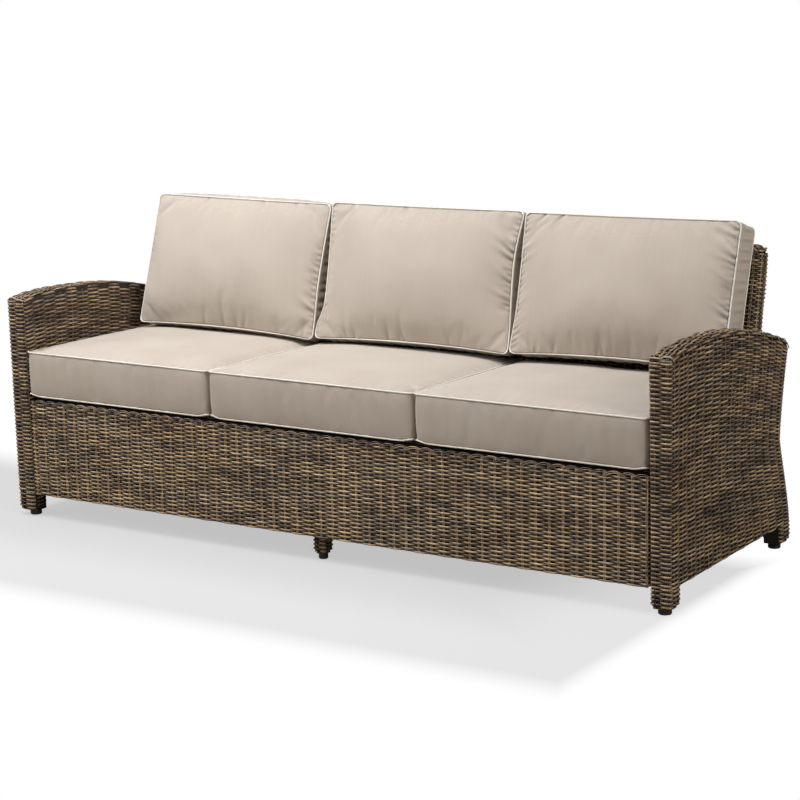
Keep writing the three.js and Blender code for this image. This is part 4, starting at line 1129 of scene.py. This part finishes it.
rests = {
    "left": dict(
        far_draw=0, far_bulge=14, shade_under=3.2, left=(0, 0, -1), right=(6, -0.1, -1),
        corners=((6, 0), (11, -6), (15, -4), (17, 0)),
        boxing=rest_boxing + [("right", up_rest(0.05, 0.95, 22), 6, 5.0)],
        face=[("right", up_rest(0.04, 0.66, 15), 2.8, 2.6, 15, 0.2),
              ("left", up_rest(0.55, 0.72, 13), 3, 1.8, 13, 0),
              ("near", (0.385, 0.5, 0.57, 0.61, 0.8, 0.94), 4.2, 1.9, 34, 0.1),
              # The wide shallow fold near the lower left is a slight dent that the canvas darkens as painted shade
              # over that corner.
              ("near", (0.1,), 50, 2.6, 48, 0), ("right", (0.1, 0.2), 5, 3.4, 34, 0.3),
              ("far", (0.3, 0.62, 0.8, 0.86), 5, 1.2, 14, 0)]),
    "middle": dict(
        left=(17, -0.46, -0.88), right=(14, 0.33, -1), corners=((11, 0), (16, 4), (14, 5), (10, 2)),
        face=[("right", (0.64, 0.7, 0.75), 3.6, 3.6, 36, 0.4),
              ("right", up_rest(0.3, 0.97, 14), 2.8, 2.6, 17, 0.25),
              ("left", up_rest(0.7, 0.97, 14), 2.8, 2.2, 16, 0),
              ("left", up_rest(0.04, 0.3, 16), 3, 1.6, 14, 0),
              ("near", (0.17, 0.22, 0.39, 0.45, 0.48, 0.7), 4.2, 1.9, 32, -0.1),
              ("right", (0.36, 0.5), 3.6, 2.2, 28, 0.4), ("far", (0.12, 0.4, 0.9), 5, 1.4, 16, 0)]),
    "right": dict(
        left=(6, -0.3, -1), right=(1, 0, -1), corners=((13, 8), (13, 13), (13, 10), (9, 3)),
        face=[("left", up_rest(0.04, 0.97, 15), 2.8, 2.6, 21, 0.5),
              ("right", (0.28, 0.34, 0.4, 0.52, 0.56, 0.7, 0.74, 0.87, 0.92), 3.2, 3.0, 27, 0.4),
              ("right", up_rest(0.2, 0.97, 14), 2.8, 2.2, 13, 0.1),
              ("near", (0.1, 0.13, 0.21, 0.42, 0.45, 0.57, 0.75), 4.2, 1.9, 34, 0.05),
              ("far", (0.1, 0.19), 4, 3.0, 18, -0.8)]),
}
for number, word in enumerate(("left", "middle", "right")):
    seat_at = Matrix.Translation(Vector(((number - 1) * SEAT_PITCH, SEAT_FRONT + ARM_FRONT, SEAT_BASE)) * MM)
    make_cushion(f"{word}_seat_cushion", {**SEAT, **seats[word]}, 100 + number, seat_at)
    rest_at = Matrix.Translation(Vector(((number - 1) * REST_PITCH, REST_FOOT_Y + ARM_FRONT, REST_FOOT_Z)) * MM)
    rest_at = rest_at @ Matrix.Rotation(math.pi / 2 - REST_LEAN, 4, "X")
    make_cushion(f"{word}_back_cushion", {**REST, **rests[word]}, 200 + number, rest_at)


# Frame finishes
finishes = {"tube_paint": tube_finish, "glide_plastic": glide_finish, "bolt_steel": bolt_finish,
            "woven_resin": wicker, "cushion_fabric": cushion_canvas}
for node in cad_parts.values():
    for held in node.material_slots:
        name = held.material.name.split(".")[0] if held.material else ""
        held.material = next((f for key, f in finishes.items() if key in name), tube_finish)


# Studio
PAPER_GLOW, ROOM_LIGHT = 0.53, 0.22
CAMERA_AT = (3.03277, -4.62601, 1.51255)
CAMERA_YAW, CAMERA_PITCH, CAMERA_ROLL = 0.573847935, 0.207652430, -0.0228673077
CAMERA_LENS, CAMERA_FILM = 98.1056, 36


def studio_floor():
    """White paper floor: it keeps the sofa's shadow from the lamps, with a grey patch round it painted as a soft
    shadow, and melts into the white behind.
    """
    material, add = new_material("studio_paper")
    to_camera = add("ShaderNodeLightPath").outputs["Is Camera Ray"]
    seen_paper = add("ShaderNodeBsdfDiffuse", {"Color": linear("#6a6a6a")})
    dim_paper = add("ShaderNodeBsdfDiffuse", {"Color": linear("#9a958c")})
    glow = add("ShaderNodeEmission", {"Color": (1, 1, 1, 1), "Strength": PAPER_GLOW})
    both = add("ShaderNodeAddShader", {0: seen_paper, 1: glow})
    spot = add("ShaderNodeTexCoord").outputs["Object"]
    x, y, _ = add("ShaderNodeSeparateXYZ", {0: spot}).outputs
    # Painted shadow: the grey patch lies under the sofa and ahead of it, where the paper shows its lit shading; it
    # thins towards its edges and stops a step away, and beyond it the paper is plain white.
    white_out = 0.0
    for place, start, end, most in ((y, -0.40, -0.70, 0.3), (x, 0.45, 0.85, 0.3), (y, -0.76, -0.96, 1.0),
                                    (x, 0.92, 1.02, 1.0), (x, -1.3, -2.2, 1.0), (y, 0.0, 0.25, 1.0)):
        band = add("ShaderNodeMapRange", {0: place, 1: start, 2: end, 4: most}, interpolation_type="SMOOTHSTEP")
        white_out = add("ShaderNodeMath", {0: white_out, 1: band}, operation="MAXIMUM")
    white = add("ShaderNodeEmission", {"Color": (1, 1, 1, 1), "Strength": 1.0})
    open_floor = add("ShaderNodeMixShader", {0: white_out, 1: both, 2: white})
    mix = add("ShaderNodeMixShader", {0: to_camera, 1: dim_paper, 2: open_floor})
    add("ShaderNodeOutputMaterial", {"Surface": mix})
    mesh = bpy.data.meshes.new("studio_floor")
    mesh.from_pydata([(-40, -40, 0), (40, -40, 0), (40, 40, 0), (-40, 40, 0)], [], [(0, 1, 2, 3)])
    mesh.materials.append(material)
    add_object("studio_floor", mesh)


def studio_world():
    """White to the camera, and a soft warm light to the sofa."""
    world = bpy.data.worlds.new("studio")
    bpy.context.scene.world = world
    world.use_nodes = True
    world.node_tree.nodes.clear()
    add = partial(add_node, world.node_tree)
    to_camera = add("ShaderNodeLightPath").outputs["Is Camera Ray"]
    strength = add("ShaderNodeMapRange", {0: to_camera, 3: ROOM_LIGHT, 4: 1.0})
    tint = ramp(add, to_camera, {0.0: "#fff0de", 1.0: "#ffffff"})
    light = add("ShaderNodeBackground", {"Color": tint, "Strength": strength})
    add("ShaderNodeOutputWorld", {"Surface": light})


def softbox(name, place, target, width, height, power, colour):
    lamp = bpy.data.lights.new(name, "AREA")
    lamp.color = linear(colour)[:3]
    lamp.shape, lamp.size, lamp.size_y, lamp.energy = "RECTANGLE", width, height, power
    holder = add_object(name, lamp)
    holder.location = place
    holder.rotation_euler = (Vector(target) - Vector(place)).to_track_quat("-Z", "Y").to_euler()


def studio_camera():
    """The photograph's camera, solved from the sofa's edges."""
    turned = (Matrix.Rotation(CAMERA_YAW, 4, "Z") @ Matrix.Rotation(math.pi / 2 - CAMERA_PITCH, 4, "X")
              @ Matrix.Rotation(CAMERA_ROLL, 4, "Z"))
    lens = bpy.data.cameras.new("studio_camera")
    lens.sensor_width, lens.lens = CAMERA_FILM, CAMERA_LENS
    lens.clip_start, lens.clip_end = 0.1, 200
    camera = add_object("studio_camera", lens)
    camera.matrix_world = Matrix.Translation(CAMERA_AT) @ turned
    bpy.context.scene.camera = camera


studio_floor()
studio_world()
softbox("key_softbox", (-1.1, -1.0, 3.4), (-0.1, 0, 0.4), 2.6, 1.4, 150, "#f8faff")
softbox("left_softbox", (-3.0, -2.0, 1.6), (-0.4, -0.2, 0.4), 0.8, 0.8, 26, "#f8f6f2")
softbox("fill_softbox", (4.6, -1.0, 2.2), (0.6, 0, 0.4), 2.0, 2.0, 88, "#ffffff")
studio_camera()
bpy.context.scene.view_settings.view_transform = "Standard"
